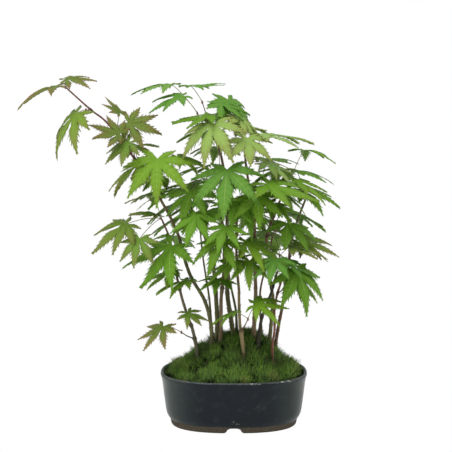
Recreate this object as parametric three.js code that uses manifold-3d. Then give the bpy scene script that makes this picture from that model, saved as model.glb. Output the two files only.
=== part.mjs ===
// A Japanese maple forest bonsai in an oval glazed pot: thin stems with sprays of palmate
// leaves, rooted in a moss-covered mound of soil. Millimetres, +Z up, +Y to the back.
import * as THREE from 'three';
import { mergeVertices } from 'three/addons/utils/BufferGeometryUtils.js';
import Module from 'manifold-3d';

const wasm = await Module();
wasm.setup();

// Driving dimensions. Places are measured from the centre of the pot's foot.
const gap = 0.3;                                  // clearance between pieces that touch
const pot = { halfLength: 75, halfDepth: 60.5, height: 53.5, fullness: 2.5, floorUnder: 4, floorTop: 9 };
const footNotch = { bottomWidth: 18.5, topWidth: 12, height: 5.4, corner: 3, chamfer: 1.2, depth: 14 };
const drain = { radius: 7, offset: 30 };          // two holes in the floor, left and right
const screen = { side: 22, thickness: 1, hole: 7, pitch: 9 };
const clip = { radius: 0.5, leg: 5.2, aside: 3, foot: 11, below: 3.2, above: 11.2 };
const mound = { halfLength: 70, centreX: 8, centreY: 4, rim: 48.5, rise: 39, knee: 0.62, steepness: 5 };
const moundShares = [0.12, 0.4, 0.6, 0.78, 0.98]; // rings of the mound, out from its crown
const moss = { thickness: 6, columns: 6, slit: 1.2 }; // slit: degrees left open beside a patch
const root = { depth: 16, flare: 1.15, holeTop: 14, slack: 0.15 }; // of a stem in the mound
const twig = { baseRadius: 0.9, tipRadius: 0.7, sagAt: 0.55, sag: 0.06 };
const blade = { thickness: 0.8, notch: 0.32, shoulder: 0.55, shoulderAngle: 14, lobeAngle: 39, back: 0.08 };
const lobeLengths = [0.42, 0.72, 0.93, 1, 0.93, 0.72, 0.42];
const petiole = { radius: 0.5, lift: 0.12 };      // lift: its rise in the middle, by its length
const collarRadius = 1.3;                         // the bud collar that a spray grows from
const twigGap = 1.8;                              // from the end of a twig to its collar's centre
const degree = Math.PI / 180;

// Each maple: its stem's path, the radius at its base and top, and its sprays. A spray grows
// at the tip of a twig that leaves the stem at height "from"; with no "from" it ends the stem.
// A leaf: place of its junction, then heading, tilt down and roll in degrees, the length of
// its middle lobe, and how far its lobes bend down.
const maples = [
  { base: 1.6, top: 0.6,
    path: [[-22, -9, 84], [-24, -9, 107], [-30, -9, 128], [-43, -9, 151], [-50, -10, 171],
      [-55, -11, 192], [-64, -12, 213], [-73, -14, 230], [-86, -15, 254], [-99, -16, 272],
      [-113, -17, 292], [-128, -18, 310], [-142, -19, 321], [-164, -20, 341]],
    sprays: [
      { at: [-166, -20, 343], leaves: [
        [-175, -20, 344, 181, 11, -4, 46, 28],
        [-166, -18, 351, 2, -12, 14, 31, 28],
      ] },
      { from: 321, at: [-146, -24, 321], leaves: [
        [-154, -30, 318, -162, 42, -10, 51, 50],
      ] },
      { from: 300, at: [-116, -13, 304], leaves: [
        [-114, -8, 317, 150, -45, 0, 23, 10],
        [-105, -20, 308, -10, 18, 50, 36, 10],
        [-112, -34, 298, 170, -20, -35, 32, 10],
      ] },
      { from: 272, at: [-100, -14, 282], leaves: [
        [-103, -34, 290, -160, 35, -20, 34, 20],
        [-98, 6, 284, 110, 20, 0, 36, 20],
        [-96, 8, 264, 168, 26, -22, 45, 20],
      ] },
      { from: 243, at: [-77, -21, 248], leaves: [
        [-75, -40, 274, -90, 52, 4, 52, 30],
        [-72, 8, 252, 128, 12, 0, 38, 25],
        [-56, -14, 272, 0, 14, 10, 34, 20],
      ] },
    ] },
  { base: 1.4, top: 0.7,
    path: [[-36, -14, 67], [-41, -14, 95], [-46, -14, 110], [-52, -14, 129], [-56, -14, 146],
      [-62, -14, 172], [-64, -14, 190], [-72, -14, 210]],
    sprays: [
      { from: 89, at: [-53, -20, 97], leaves: [
        [-71, -30, 105, -138, 36, 0, 33, 8],
      ] },
      { from: 103, at: [-45, -24, 112], leaves: [
        [-46, -36, 120, -45, 25, 10, 24, 8],
      ] },
      { at: [-73, -14, 212], leaves: [
        [-107, -20, 207, -162, 22, -16, 45, 30],
        [-93, -40, 195, -112, 50, 0, 32, 15],
        [-80, -2, 214, 152, -15, 0, 28, 15],
        [-84, 22, 232, 140, 10, 0, 34, 25],
      ] },
      { from: 172, at: [-59, -20, 181], leaves: [
        [-62, -33, 187, -147, 40, -14, 54, 20],
        [-62, 14, 190, 80, 20, 0, 32, 25],
        [-83, 2, 173, 185, 13, 5, 34, 25],
      ] },
      { from: 140, at: [-50, -20, 147], leaves: [
        [-46, -30, 152, -170, 15, 0, 36, 30],
        [-62, -22, 160, -150, 20, 0, 32, 25],
      ] },
    ] },
  { base: 1.0, top: 0.6,
    path: [[-22, 8, 83], [-25, 11, 124], [-29, 14, 150], [-32, 17, 170], [-34, 20, 190]],
    sprays: [
      { at: [-34, 21, 193], leaves: [
        [-51, 32, 209, 158, 22, 0, 45, 25],
        [-38, 42, 204, 125, 25, 0, 36, 25],
        [-25, 61, 207, 107, 9, 6, 36, 25],
        [-36, 46, 222, 120, 15, 0, 40, 25],
        [-65, 55, 235, 162, 10, 3, 40, 25],
      ] },
    ] },
  { base: 2.0, top: 1.0,
    path: [[-17, 1, 80], [-17, 1, 106], [-18, 1, 126], [-19, 1, 142], [-22, 1, 167], [-29, 2, 190],
      [-38, 3, 208], [-44, 4, 223]],
    sprays: [
      { at: [-45, 4, 225], leaves: [
        [-60, 8, 238, 178, 14, 0, 44, 25],
        [-68, 16, 258, 174, 2, 5, 38, 25],
        [-60, 34, 221, 150, 20, 0, 38, 25],
        [-40, 16, 243, 95, 15, 0, 42, 25],
        [-42, -24, 240, -110, 40, 0, 40, 20],
      ] },
    ] },
  { base: 1.6, top: 0.9,
    path: [[-14, -10, 79], [-13, -10, 107], [-13, -10, 128], [-11, -9, 148], [-10, -9, 167],
      [-10, -9, 189], [-12, -8, 210], [-15, -8, 230], [-13, -8, 242]],
    sprays: [
      { at: [-13, -9, 245], leaves: [
        [-7, -48, 264, -98, 44, 6, 55, 25],
        [-29, 12, 262, 172, 10, 0, 36, 25],
        [-31, 37, 246, 158, 12, 4, 36, 25],
        [-16, 38, 280, 95, 12, 0, 42, 25],
      ] },
      { from: 189, at: [-12, -17, 187], leaves: [
        [-11, -50, 194, -118, 30, -8, 42, 35],
      ] },
      { from: 212, at: [-17, -15, 217], leaves: [
        [-27, -26, 221, -148, 36, 0, 40, 20],
        [-10, 7, 216, 78, 5, 6, 32, 25],
        [-31, -22, 212, -178, 18, -12, 30, 25],
        [-37, -42, 219, -115, 36, -8, 36, 25],
      ] },
      { from: 140, at: [-13, -16, 146], leaves: [
        [-16, -28, 153, -95, 12, 0, 30, 25],
      ] },
    ] },
  { base: 2.0, top: 0.8,
    path: [[0, 2, 79], [-2, 2, 100], [-6, 2, 126], [-7, 1, 142], [-8, 1, 167], [-7, 1, 196],
      [-7, 1, 213], [-8, 1, 237], [-11, 0, 264], [-16, 0, 284], [-22, 0, 301], [-24, 1, 308]],
    sprays: [
      { at: [-27, 0, 311], leaves: [
        [-22, -24, 316, -172, 4, -8, 42, 20],
        [-20, -38, 308, -116, 40, 0, 50, 45],
        [-31, 28, 296, 130, 20, 0, 32, 25],
        [-10, 34, 312, 60, 14, 0, 40, 25],
      ] },
      { from: 292, at: [-14, 4, 316], leaves: [
        [-6, 2, 330, -46, 45, -4, 43, 40],
        [-13, -10, 327, -42, 24, 0, 36, 20],
      ] },
      { from: 284, at: [-37, 10, 316], leaves: [
        [-63, 10, 345, 178, 3, 0, 44, 20],
        [-52, -12, 334, -168, 10, -14, 36, 20],
      ] },
      { from: 301, at: [-32, 12, 327], leaves: [
        [-44, 24, 343, 22, -8, 0, 40, 15],
      ] },
    ] },
  { base: 1.1, top: 0.6,
    path: [[3, 14, 92], [2, 17, 113], [-3, 22, 137], [-5, 25, 153], [-2, 27, 174], [4, 30, 189]],
    sprays: [
      { at: [4, 31, 192], leaves: [
        [2, 44, 214, 98, 20, 0, 40, 25],
        [22, 60, 236, 70, 10, 0, 36, 25],
        [17, 42, 211, 58, 22, 0, 46, 25],
        [4, 50, 224, 88, 12, 0, 42, 25],
        [-12, 58, 244, 105, 8, 0, 40, 25],
      ] },
    ] },
  { base: 1.3, top: 0.8, stub: { height: 24, radius: 2.1 },
    path: [[10, -26, 75], [8, -25, 90], [7, -25, 100], [6, -24, 105], [5, -23, 131], [5, -23, 140],
      [4, -22, 151], [3, -21, 166], [2, -21, 196], [4, -20, 221]],
    sprays: [
      { at: [4, -20, 224], leaves: [
        [1, -40, 232, -102, 42, 0, 35, 20],
        [11, -30, 226, -75, 42, 0, 36, 20],
        [-8, -57, 209, -111, 32, -3, 34, 25],
      ] },
      { from: 174, at: [7, -28, 179], leaves: [
        [11, -32, 190, -18, 14, 10, 46, 22],
        [15, -40, 173, -92, 32, 0, 32, 20],
        [-2, -38, 172, -150, 28, 0, 34, 20],
      ] },
      { from: 99, at: [14, -32, 113], leaves: [
        [21, -50, 131, -5, 0, 20, 36, 30],
        [1, -38, 121, -175, 20, 0, 26, 20],
      ] },
    ] },
  { base: 1.8, top: 0.7,
    path: [[20, -6, 81], [21, -6, 112], [22, -5, 127], [22, -5, 141], [21, -5, 168], [21, -5, 189],
      [20, -5, 217], [16, -4, 239], [12, -4, 265], [10, -4, 285]],
    sprays: [
      { at: [10, -4, 288], leaves: [
        [6, -16, 313, -33, 33, -5, 38, 45],
        [13, -40, 294, -82, 42, 0, 36, 20],
        [8, 16, 303, 55, 15, 0, 42, 25],
      ] },
      { from: 258, at: [18, -9, 268], leaves: [
        [29, -10, 296, -5, 5, 0, 53, 15],
        [24, 6, 272, 8, 12, 0, 42, 20],
        [33, -16, 267, -30, 20, 0, 36, 20],
      ] },
      { from: 217, at: [23, -12, 225], leaves: [
        [22, -46, 240, -82, 42, 0, 40, 20],
        [44, -20, 238, -14, 20, -2, 36, 25],
        [24, 8, 242, 70, 12, 0, 40, 25],
        [35, 43, 267, 53, -2, 1, 39, 25],
      ] },
    ] },
  { base: 1.5, top: 0.9,
    path: [[24, -18, 83], [26, -20, 99], [28, -23, 112], [34, -25, 129], [38, -28, 141],
      [42, -30, 157]],
    sprays: [
      { at: [43, -31, 160], leaves: [
        [62, -36, 162, -60, 40, 4, 45, 50],
        [40, -52, 176, -104, 30, 0, 32, 20],
        [54, -28, 170, -20, 22, 0, 34, 20],
      ] },
    ] },
  { base: 1.0, top: 0.6,
    path: [[29, 9, 84], [27, 15, 123], [29, 18, 142], [35, 22, 162], [39, 25, 184]],
    sprays: [
      { at: [40, 26, 187], leaves: [
        [52, 38, 200, 25, 20, 0, 47, 25],
        [34, 44, 192, 95, 25, 0, 42, 25],
        [50, 50, 214, 48, 14, 0, 42, 25],
        [62, 34, 210, 12, 14, 0, 40, 25],
      ] },
    ] },
  { base: 1.6, top: 0.8,
    path: [[36, -2, 79], [38, -2, 101], [39, -2, 116], [40, -1, 127], [37, -1, 147], [37, -1, 163],
      [33, -1, 190], [41, 0, 214], [47, 0, 229], [54, 0, 241]],
    sprays: [
      { at: [55, 0, 243], leaves: [
        [46, 18, 258, 100, 12, 0, 40, 25],
        [72, 29, 277, 41, 6, 0, 38, 25],
        [62, -14, 250, -30, 18, 0, 40, 25],
      ] },
      { from: 212, at: [38, -12, 226], leaves: [
        [32, -44, 250, -22, 12, 12, 58, 15],
        [37, -28, 229, -48, 22, 0, 34, 20],
      ] },
      { from: 192, at: [42, -9, 199], leaves: [
        [53, -22, 208, -48, 28, 0, 43, 25],
        [27, 16, 232, 125, 15, 0, 42, 25],
      ] },
    ] },
  { base: 1.1, top: 0.7,
    path: [[39, -23, 66], [39, -20, 84], [41, -19, 99], [41, -17, 119], [44, -15, 136],
      [50, -14, 154], [56, -12, 171]],
    sprays: [
      { at: [57, -12, 174], leaves: [
        [57, -32, 185, -6, 4, 0, 38, 20],
        [68, -8, 187, -12, 8, 20, 40, 22],
      ] },
      { from: 136, at: [51, -18, 142], leaves: [
        [60, -20, 152, -28, 22, 0, 34, 25],
      ] },
    ] },
  { base: 1.4, top: 0.8,
    path: [[42, 3, 73], [46, 5, 99], [50, 6, 120], [52, 8, 135], [56, 9, 160], [58, 10, 183],
      [65, 11, 207], [73, 12, 228]],
    sprays: [
      { at: [74, 12, 230], leaves: [
        [67, 0, 240, -8, 16, 14, 45, 22],
        [64, 22, 257, 6, 6, 0, 43, 20],
      ] },
      { from: 137, at: [47, 12, 170], leaves: [
        [64, 22, 182, 15, 18, 0, 42, 25],
        [44, 32, 184, 90, 22, 0, 42, 25],
        [30, 46, 168, 105, 12, 0, 36, 25],
      ] },
    ] },
];

const vector = (point) => new THREE.Vector3(point[0], point[1], point[2]);

// A closed solid through rings of points, with a flat cap on the first and last ring.
function loft(rings) {
  const count = rings[0].length;
  const points = rings.flat();
  const middle = (ring) => ring.reduce((sum, p) => sum.add(p), new THREE.Vector3()).divideScalar(count);
  const first = points.push(middle(rings[0])) - 1;
  const last = points.push(middle(rings[rings.length - 1])) - 1;
  const faces = [];
  for (let i = 0; i < count; i++) {
    const next = (i + 1) % count;
    for (let r = 0; r < rings.length - 1; r++) {
      const [a, b] = [r * count + i, r * count + next];
      faces.push([a, b, b + count], [a, b + count, a + count]);
    }
    const end = (rings.length - 1) * count;
    faces.push([first, next, i], [last, end + i, end + next]);
  }
  return solidFrom(points, faces);
}

// A solid from points and faces, turned right side out whichever way the faces wind.
function solidFrom(points, faces) {
  let volume = 0;
  for (const [a, b, c] of faces) volume += points[a].dot(points[b].clone().cross(points[c]));
  const turned = volume < 0 ? faces.map(([a, b, c]) => [a, c, b]) : faces;
  return new wasm.Manifold(new wasm.Mesh({
    numProp: 3,
    vertProperties: Float32Array.from(points.flatMap((p) => p.toArray())),
    triVerts: Uint32Array.from(turned.flat()),
  }));
}

function solidOf(geometry) {
  geometry.deleteAttribute('normal');
  geometry.deleteAttribute('uv');
  const merged = mergeVertices(geometry, 1e-4);
  return new wasm.Manifold(new wasm.Mesh({
    numProp: 3,
    vertProperties: Float32Array.from(merged.attributes.position.array),
    triVerts: Uint32Array.from(merged.index.array),
  }));
}

// A round tube along a list of points; radiusAt gives its radius from 0, the start, to 1.
function tube(points, radiusAt, sides) {
  const rings = points.map((point, i) => {
    const ahead = points[Math.min(i + 1, points.length - 1)].clone();
    const along = ahead.sub(points[Math.max(i - 1, 0)]).normalize();
    const aside = new THREE.Vector3(0, 1, 0).addScaledVector(along, -along.y).normalize();
    const across = new THREE.Vector3().crossVectors(along, aside);
    const radius = radiusAt(i / (points.length - 1));
    return Array.from({ length: sides }, (_, s) => {
      const angle = (2 * Math.PI * s) / sides;
      return point.clone()
        .addScaledVector(aside, radius * Math.cos(angle))
        .addScaledVector(across, radius * Math.sin(angle));
    });
  });
  return loft(rings);
}

const box = (size, place) => solidOf(new THREE.BoxGeometry(...size).translate(...place));

function join(solids) {
  return solids.reduce((whole, solid) => whole.add(solid));
}

function cut(solid, tools) {
  return tools.reduce((rest, tool) => rest.subtract(tool), solid);
}

// A point of the pot's full oval, halfLength out along X; the depth is the same amount less all round.
function ovalPoint(halfLength, angle, z) {
  const halfDepth = halfLength - (pot.halfLength - pot.halfDepth);
  const full = (value) => Math.sign(value) * Math.abs(value) ** (2 / pot.fullness);
  return new THREE.Vector3(halfLength * full(Math.cos(angle)), halfDepth * full(Math.sin(angle)), z);
}

function ovalRing(halfLength, z, count) {
  return Array.from({ length: count }, (_, i) => ovalPoint(halfLength, (2 * Math.PI * i) / count, z));
}

function potBody() {
  const profile = [
    [57, pot.floorUnder], [58.5, 0], [64, 0], [65.4, 5.4], [68.4, 10.5], [70, 18], [71.5, 29],
    [73.4, 45], [74.6, 49.3], [75, 51.4], [74.2, 53.1], [72.6, pot.height], [71.3, 52.4], [70, 47],
    [67.5, 22], [63, 11.5], [57, pot.floorTop],
  ];
  const body = loft(profile.map(([halfLength, z]) => ovalRing(halfLength, z, 32)));
  const { bottomWidth, topWidth, height, corner, chamfer, depth } = footNotch;
  const half = [[bottomWidth / 2, -1], [bottomWidth / 2, 0], [topWidth / 2, height - chamfer],
    [topWidth / 2 - corner, height]];
  const outline = [...half, ...half.map(([x, z]) => [-x, z]).reverse()];
  const arch = new THREE.Shape(outline.map(([x, z]) => new THREE.Vector2(x, z)));
  const notch = () => new THREE.ExtrudeGeometry(arch, { depth, bevelEnabled: false }).rotateX(Math.PI / 2);
  const outside = 54;
  const notches = [depth - outside, outside].map((back) => solidOf(notch().translate(0, back, 0)));
  const bore = () => new THREE.CylinderGeometry(drain.radius, drain.radius, 20, 16).rotateX(Math.PI / 2);
  const holes = [-1, 1].map((side) => solidOf(bore().translate(side * drain.offset, 0, pot.floorTop)));
  return cut(body, [...notches, ...holes]);
}

// A square of plastic mesh over a drainage hole, two by two openings.
function drainageScreen(x) {
  const { side, thickness, hole, pitch } = screen;
  const middle = pot.floorTop + gap + thickness / 2;
  const rows = [-0.5, 0.5];
  const holes = rows.flatMap((column) => rows.map((row) => box([hole, hole, 3 * thickness],
    [x + column * pitch, row * pitch, middle])));
  return cut(box([side, side, thickness], [x, 0, middle]), holes);
}

// The wire that holds a screen down: over the mesh, down through the hole, feet turned out below.
function screenClip(x) {
  const { leg, aside, foot, below, above, radius } = clip;
  const path = [[-foot, below], [-leg - 1, below], [-leg, below + 1], [-leg, above - 1], [-leg + 1, above],
    [leg - 1, above], [leg, above - 1], [leg, below + 1], [leg + 1, below], [foot, below]];
  return tube(path.map(([dx, z]) => new THREE.Vector3(x + dx, aside, z)), () => radius, 5);
}

// The mound's surface: a share of the way out from its crown to the pot's rim gives its height.
const moundHeight = (share) => mound.rim + mound.rise / (1 + (share / mound.knee) ** mound.steepness);

function moundPoint(share, angle, lower = 0) {
  const crown = new THREE.Vector3(mound.centreX, mound.centreY, 0);
  const edge = ovalPoint(mound.halfLength - lower / 8, angle, 0);
  return crown.lerp(edge, share).setZ(moundHeight(share) - lower);
}

function soilBody(stems) {
  const wall = [[56.2, pot.floorTop + gap], [62, 11.8], [66.4, 22], [68.6, 40]];
  const count = 4 * moss.columns;
  const top = [...moundShares].reverse().map((share) => Array.from({ length: count },
    (_, i) => moundPoint(share, (2 * Math.PI * i) / count, moss.thickness)));
  const body = loft([...wall.map(([halfLength, z]) => ovalRing(halfLength, z, count)), ...top]);
  const pocket = [screen.side + 1, screen.side + 1, 3.4];
  const pockets = [-1, 1].map((side) => box(pocket, [side * drain.offset, 0, pot.floorTop + 1.3]));
  return cut(body, [...pockets, ...stems]);
}

// One patch of moss: a piece of the mound's skin between two angles, with a slit to its neighbours.
function mossPatch(fromAngle, toAngle, stems) {
  const [rows, columns, slit] = [moundShares.length - 1, moss.columns, moss.slit * degree];
  const angleAt = (column) => fromAngle + slit + (toAngle - fromAngle - 2 * slit) * (column / columns);
  const points = [];
  for (const lower of [0, moss.thickness - 2 * gap]) {
    for (const share of moundShares) {
      for (let column = 0; column <= columns; column++) {
        points.push(moundPoint(share, angleAt(column), lower));
      }
    }
  }
  const size = (rows + 1) * (columns + 1);
  const index = (row, column) => row * (columns + 1) + column;
  const faces = [];
  const quad = (a, b, c, d) => faces.push([a, b, c], [a, c, d]);
  for (let row = 0; row < rows; row++) {
    for (let column = 0; column < columns; column++) {
      const [inner, outer] = [index(row, column), index(row + 1, column)];
      const corners = [inner, outer, outer + 1, inner + 1];
      quad(...corners);
      quad(...corners.map((corner) => corner + size).reverse());
    }
  }
  const border = [
    ...Array.from({ length: rows }, (_, row) => index(row, 0)),
    ...Array.from({ length: columns }, (_, column) => index(rows, column)),
    ...Array.from({ length: rows }, (_, row) => index(rows - row, columns)),
    ...Array.from({ length: columns }, (_, column) => index(0, columns - column)),
  ];
  border.forEach((a, i) => {
    const b = border[(i + 1) % border.length];
    quad(b, a, a + size, b + size);
  });
  return cut(solidFrom(points, faces), stems);
}

// The part of a stem that stands in the mound, widened by extra for the hole it sits in.
function rootPart(maple, extra) {
  const [foot, above] = [vector(maple.path[0]), vector(maple.path[1])];
  const radius = maple.stub ? maple.stub.radius : maple.base;
  const lean = above.clone().sub(foot).normalize();
  const bottom = foot.clone().addScaledVector(lean, -root.depth - extra);
  const top = foot.clone().addScaledVector(lean, root.holeTop);
  return { bottom, top, radius: radius * root.flare + extra };
}

function rootHole(maple) {
  const { bottom, top, radius } = rootPart(maple, gap + root.slack);
  return tube([bottom, top], () => radius, 6);
}

// The point of a stem's path at a given height.
function stemPoint(maple, height) {
  const path = maple.path;
  const upper = path.findIndex((point) => point[2] >= height);
  const [low, high] = [vector(path[upper - 1]), vector(path[upper])];
  return low.lerp(high, (height - low.z) / (high.z - low.z));
}

function mapleStem(maple) {
  const { bottom } = rootPart(maple, 0);
  const points = [bottom, ...maple.path.map(vector)];
  const last = maple.sprays.find((spray) => !spray.from);
  const end = vector(last.at);
  points.push(end.addScaledVector(end.clone().sub(points[points.length - 1]).normalize(), -twigGap));
  const pieces = [tube(points, (t) => maple.base + (maple.top - maple.base) * t, 6)];
  if (maple.stub) {
    const [foot, next] = [vector(maple.path[0]), vector(maple.path[2])];
    const lean = next.sub(foot).normalize();
    const top = foot.clone().addScaledVector(lean, maple.stub.height);
    pieces.push(tube([bottom, foot, top], () => maple.stub.radius, 6));
  }
  for (const spray of maple.sprays.filter((one) => one.from)) {
    const [start, tip] = [stemPoint(maple, spray.from), vector(spray.at)];
    const along = tip.clone().sub(start).normalize();
    const stop = tip.addScaledVector(along, -twigGap);
    const middle = start.clone().lerp(stop, twig.sagAt);
    middle.z -= twig.sag * start.distanceTo(stop);
    const radiusAt = (t) => twig.baseRadius + (twig.tipRadius - twig.baseRadius) * t;
    pieces.push(tube([start, middle, stop], radiusAt, 5));
  }
  return join(pieces);
}

// The leaf's own directions: along its middle lobe, to its left, and out of its upper face.
function leafAxes(heading, tilt, roll) {
  const [h, t, r] = [heading * degree, tilt * degree, roll * degree];
  const along = new THREE.Vector3(Math.cos(t) * Math.cos(h), Math.cos(t) * Math.sin(h), -Math.sin(t));
  const level = new THREE.Vector3(-Math.sin(h), Math.cos(h), 0);
  const above = new THREE.Vector3().crossVectors(along, level);
  const left = level.clone().multiplyScalar(Math.cos(r)).addScaledVector(above, Math.sin(r));
  return { along, left, up: new THREE.Vector3().crossVectors(along, left) };
}

// A leaf in one piece: a blade of seven lobes round the junction, each bending down towards
// its tip, and below it a three-sided petiole that runs back to the collar at "start".
function leafSolid(start, [x, y, z, heading, tilt, roll, size, droop]) {
  const { along, left, up } = leafAxes(heading, tilt, roll);
  const junction = new THREE.Vector3(x, y, z);
  const place = (length, angle, lower = 0) => {
    const bend = Math.max(1e-3, (droop * degree * length) / size);
    const out = (length * Math.sin(bend)) / bend;
    const down = (length * (1 - Math.cos(bend))) / bend;
    return junction.clone()
      .addScaledVector(along, out * Math.cos(angle * degree))
      .addScaledVector(left, out * Math.sin(angle * degree))
      .addScaledVector(up, -down - lower);
  };
  const rim = [[blade.back, -180]];
  lobeLengths.forEach((length, i) => {
    const angle = (i - 3) * blade.lobeAngle;
    const basal = i === 0 || i === lobeLengths.length - 1;
    if (i > 0) rim.push([blade.notch * Math.min(length, lobeLengths[i - 1]), angle - blade.lobeAngle / 2]);
    if (!basal) rim.push([blade.shoulder * length, angle - blade.shoulderAngle]);
    rim.push([length, angle]);
    if (!basal) rim.push([blade.shoulder * length, angle + blade.shoulderAngle]);
  });
  const points = rim.map(([length, angle]) => place(length * size, angle));
  const crown = points.push(junction.clone().addScaledVector(up, blade.thickness / 2)) - 1;
  const stalk = new THREE.QuadraticBezierCurve3(junction, petioleMiddle(start, junction), start);
  const turns = [-120, 0, 120];
  const rings = [turns.map((angle) => points.push(place(petiole.radius, angle, blade.thickness / 2)) - 1)];
  for (const share of [0.5, 1]) {
    const back = stalk.getTangent(share);
    const level = new THREE.Vector3().crossVectors(back, left).normalize();
    const aside = new THREE.Vector3().crossVectors(level, back);
    rings.push(turns.map((angle) => points.push(stalk.getPoint(share)
      .addScaledVector(level, petiole.radius * Math.cos(angle * degree))
      .addScaledVector(aside, petiole.radius * Math.sin(angle * degree))) - 1));
  }
  const end = points.push(start.clone()) - 1;
  const faces = [];
  const sector = (angle) => Math.floor((angle + 180) / 120) % 3;
  rim.forEach(([, angle], i) => {
    const next = (i + 1) % rim.length;
    const [here, there] = [sector(angle), sector(rim[next][1])];
    faces.push([crown, i, next], [rings[0][here], next, i]);
    if (here !== there) faces.push([next, rings[0][here], rings[0][there]]);
  });
  for (let r = 0; r < rings.length - 1; r++) {
    for (let i = 0; i < 3; i++) {
      const [a, b] = [rings[r][i], rings[r][(i + 1) % 3]];
      const [c, d] = [rings[r + 1][i], rings[r + 1][(i + 1) % 3]];
      faces.push([b, a, c], [b, c, d]);
    }
  }
  const last = rings[rings.length - 1];
  last.forEach((a, i) => faces.push([last[(i + 1) % 3], a, end]));
  return solidFrom(points, faces);
}

function petioleMiddle(start, junction) {
  const lift = petiole.lift * start.distanceTo(junction);
  return start.clone().lerp(junction, 0.5).add(new THREE.Vector3(0, 0, lift));
}

function leafSpray(spray) {
  const start = vector(spray.at);
  const collar = solidOf(new THREE.IcosahedronGeometry(collarRadius, 0).translate(...spray.at));
  return join([collar, ...spray.leaves.map((leaf) => leafSolid(start, leaf))]);
}

// Finishes, one material for each.
const finish = (color, roughness, metalness = 0) => () => (
  new THREE.MeshStandardMaterial({ color, roughness, metalness }));
const glaze = finish(0x2a3336, 0.3);
const earth = finish(0x3a2c20, 0.95);
const mossGreen = finish(0x4d7a22, 0.9);
const bark = finish(0x5c5636, 0.7);
const leafGreen = finish(0x5f9a28, 0.5);
const blackPlastic = finish(0x1c1c1c, 0.6);
const wire = finish(0xb0a89c, 0.4, 1);

const model = new THREE.Group();

function add(name, solid, material) {
  const { vertProperties, triVerts } = solid.getMesh();
  const geometry = new THREE.BufferGeometry();
  geometry.setAttribute('position', new THREE.BufferAttribute(vertProperties, 3));
  geometry.setIndex(new THREE.BufferAttribute(triVerts, 1));
  geometry.computeVertexNormals();
  const mesh = new THREE.Mesh(geometry, material());
  mesh.name = name;
  model.add(mesh);
}

const rootHoles = maples.map(rootHole);
add('pot', potBody(), glaze);
add('drainage_screen_left', drainageScreen(-drain.offset), blackPlastic);
add('drainage_screen_right', drainageScreen(drain.offset), blackPlastic);
add('screen_clip_left', screenClip(-drain.offset), wire);
add('screen_clip_right', screenClip(drain.offset), wire);
add('soil', soilBody(rootHoles), earth);
['back_right', 'back_left', 'front_left', 'front_right'].forEach((side, i) => {
  add(`moss_${side}`, mossPatch(i * 90 * degree, (i + 1) * 90 * degree, rootHoles), mossGreen);
});
let sprayNumber = 0;
maples.forEach((maple, i) => {
  add(`maple_stem_${String(i + 1).padStart(2, '0')}`, mapleStem(maple), bark);
  for (const spray of maple.sprays) {
    sprayNumber += 1;
    add(`leaf_spray_${String(sprayNumber).padStart(2, '0')}`, leafSpray(spray), leafGreen);
  }
});

// The origin is the middle of the whole plant's box, at the bottom of the pot's foot.
const bounds = new THREE.Box3().setFromObject(model);
const centre = bounds.getCenter(new THREE.Vector3());
model.position.set(-centre.x, -centre.y, -bounds.min.z);
model.updateMatrixWorld(true);

export default model;
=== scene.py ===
# A Japanese maple forest bonsai: an oval glazed pot, a mossy mound, thin stems and leaf sprays.
import math
import random

import bmesh
import bpy
from mathutils import Matrix, Vector, noise


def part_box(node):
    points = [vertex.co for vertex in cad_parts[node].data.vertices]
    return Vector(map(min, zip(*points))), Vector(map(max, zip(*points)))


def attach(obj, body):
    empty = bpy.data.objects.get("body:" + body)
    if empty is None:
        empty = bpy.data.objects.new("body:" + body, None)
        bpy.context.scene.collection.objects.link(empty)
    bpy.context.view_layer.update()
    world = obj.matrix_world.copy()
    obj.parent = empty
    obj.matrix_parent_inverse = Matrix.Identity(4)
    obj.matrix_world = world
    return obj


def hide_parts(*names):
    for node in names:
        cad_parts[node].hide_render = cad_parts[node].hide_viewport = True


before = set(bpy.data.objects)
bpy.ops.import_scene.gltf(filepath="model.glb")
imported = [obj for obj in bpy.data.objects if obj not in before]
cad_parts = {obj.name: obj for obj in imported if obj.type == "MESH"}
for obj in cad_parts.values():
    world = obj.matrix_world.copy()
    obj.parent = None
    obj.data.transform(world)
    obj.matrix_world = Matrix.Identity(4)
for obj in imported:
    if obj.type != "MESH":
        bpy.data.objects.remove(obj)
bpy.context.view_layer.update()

mm = 0.001
degree = math.pi / 180
potLow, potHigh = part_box("pot")
potMiddle = Vector(((potLow[0] + potHigh[0]) / 2, (potLow[1] + potHigh[1]) / 2, potLow[2]))


def fromPot(x, y, z):
    # a place given in millimetres from the middle of the pot's foot
    return potMiddle + Vector((x, y, z)) * mm


# what every piece goes through

def makeObject(name, mesh):
    piece = bpy.data.objects.new(name, mesh)
    bpy.context.scene.collection.objects.link(piece)
    return piece


def makeMesh(name, points, faces, smooth=True):
    mesh = bpy.data.meshes.new(name)
    mesh.from_pydata([tuple(p) for p in points], [], faces)
    mesh.polygons.foreach_set("use_smooth", [smooth] * len(mesh.polygons))
    mesh.update()
    return mesh


def settle(piece):
    # what the modifiers make becomes the piece's own plain mesh
    depsgraph = bpy.context.evaluated_depsgraph_get()
    mesh = bpy.data.meshes.new_from_object(piece.evaluated_get(depsgraph), depsgraph=depsgraph)
    piece.modifiers.clear()
    piece.data = mesh
    return piece


def pointValues(mesh, name, values):
    # a number or a colour at every point, for the piece's finish to read
    if isinstance(values[0], tuple):
        layer = mesh.attributes.new(name, "FLOAT_COLOR", "POINT")
        layer.data.foreach_set("color", [part for colour in values for part in (*colour, 1)])
    else:
        layer = mesh.attributes.new(name, "FLOAT", "POINT")
        layer.data.foreach_set("value", values)


def standIn(piece, node):
    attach(piece, "root")
    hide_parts(node)


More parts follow.
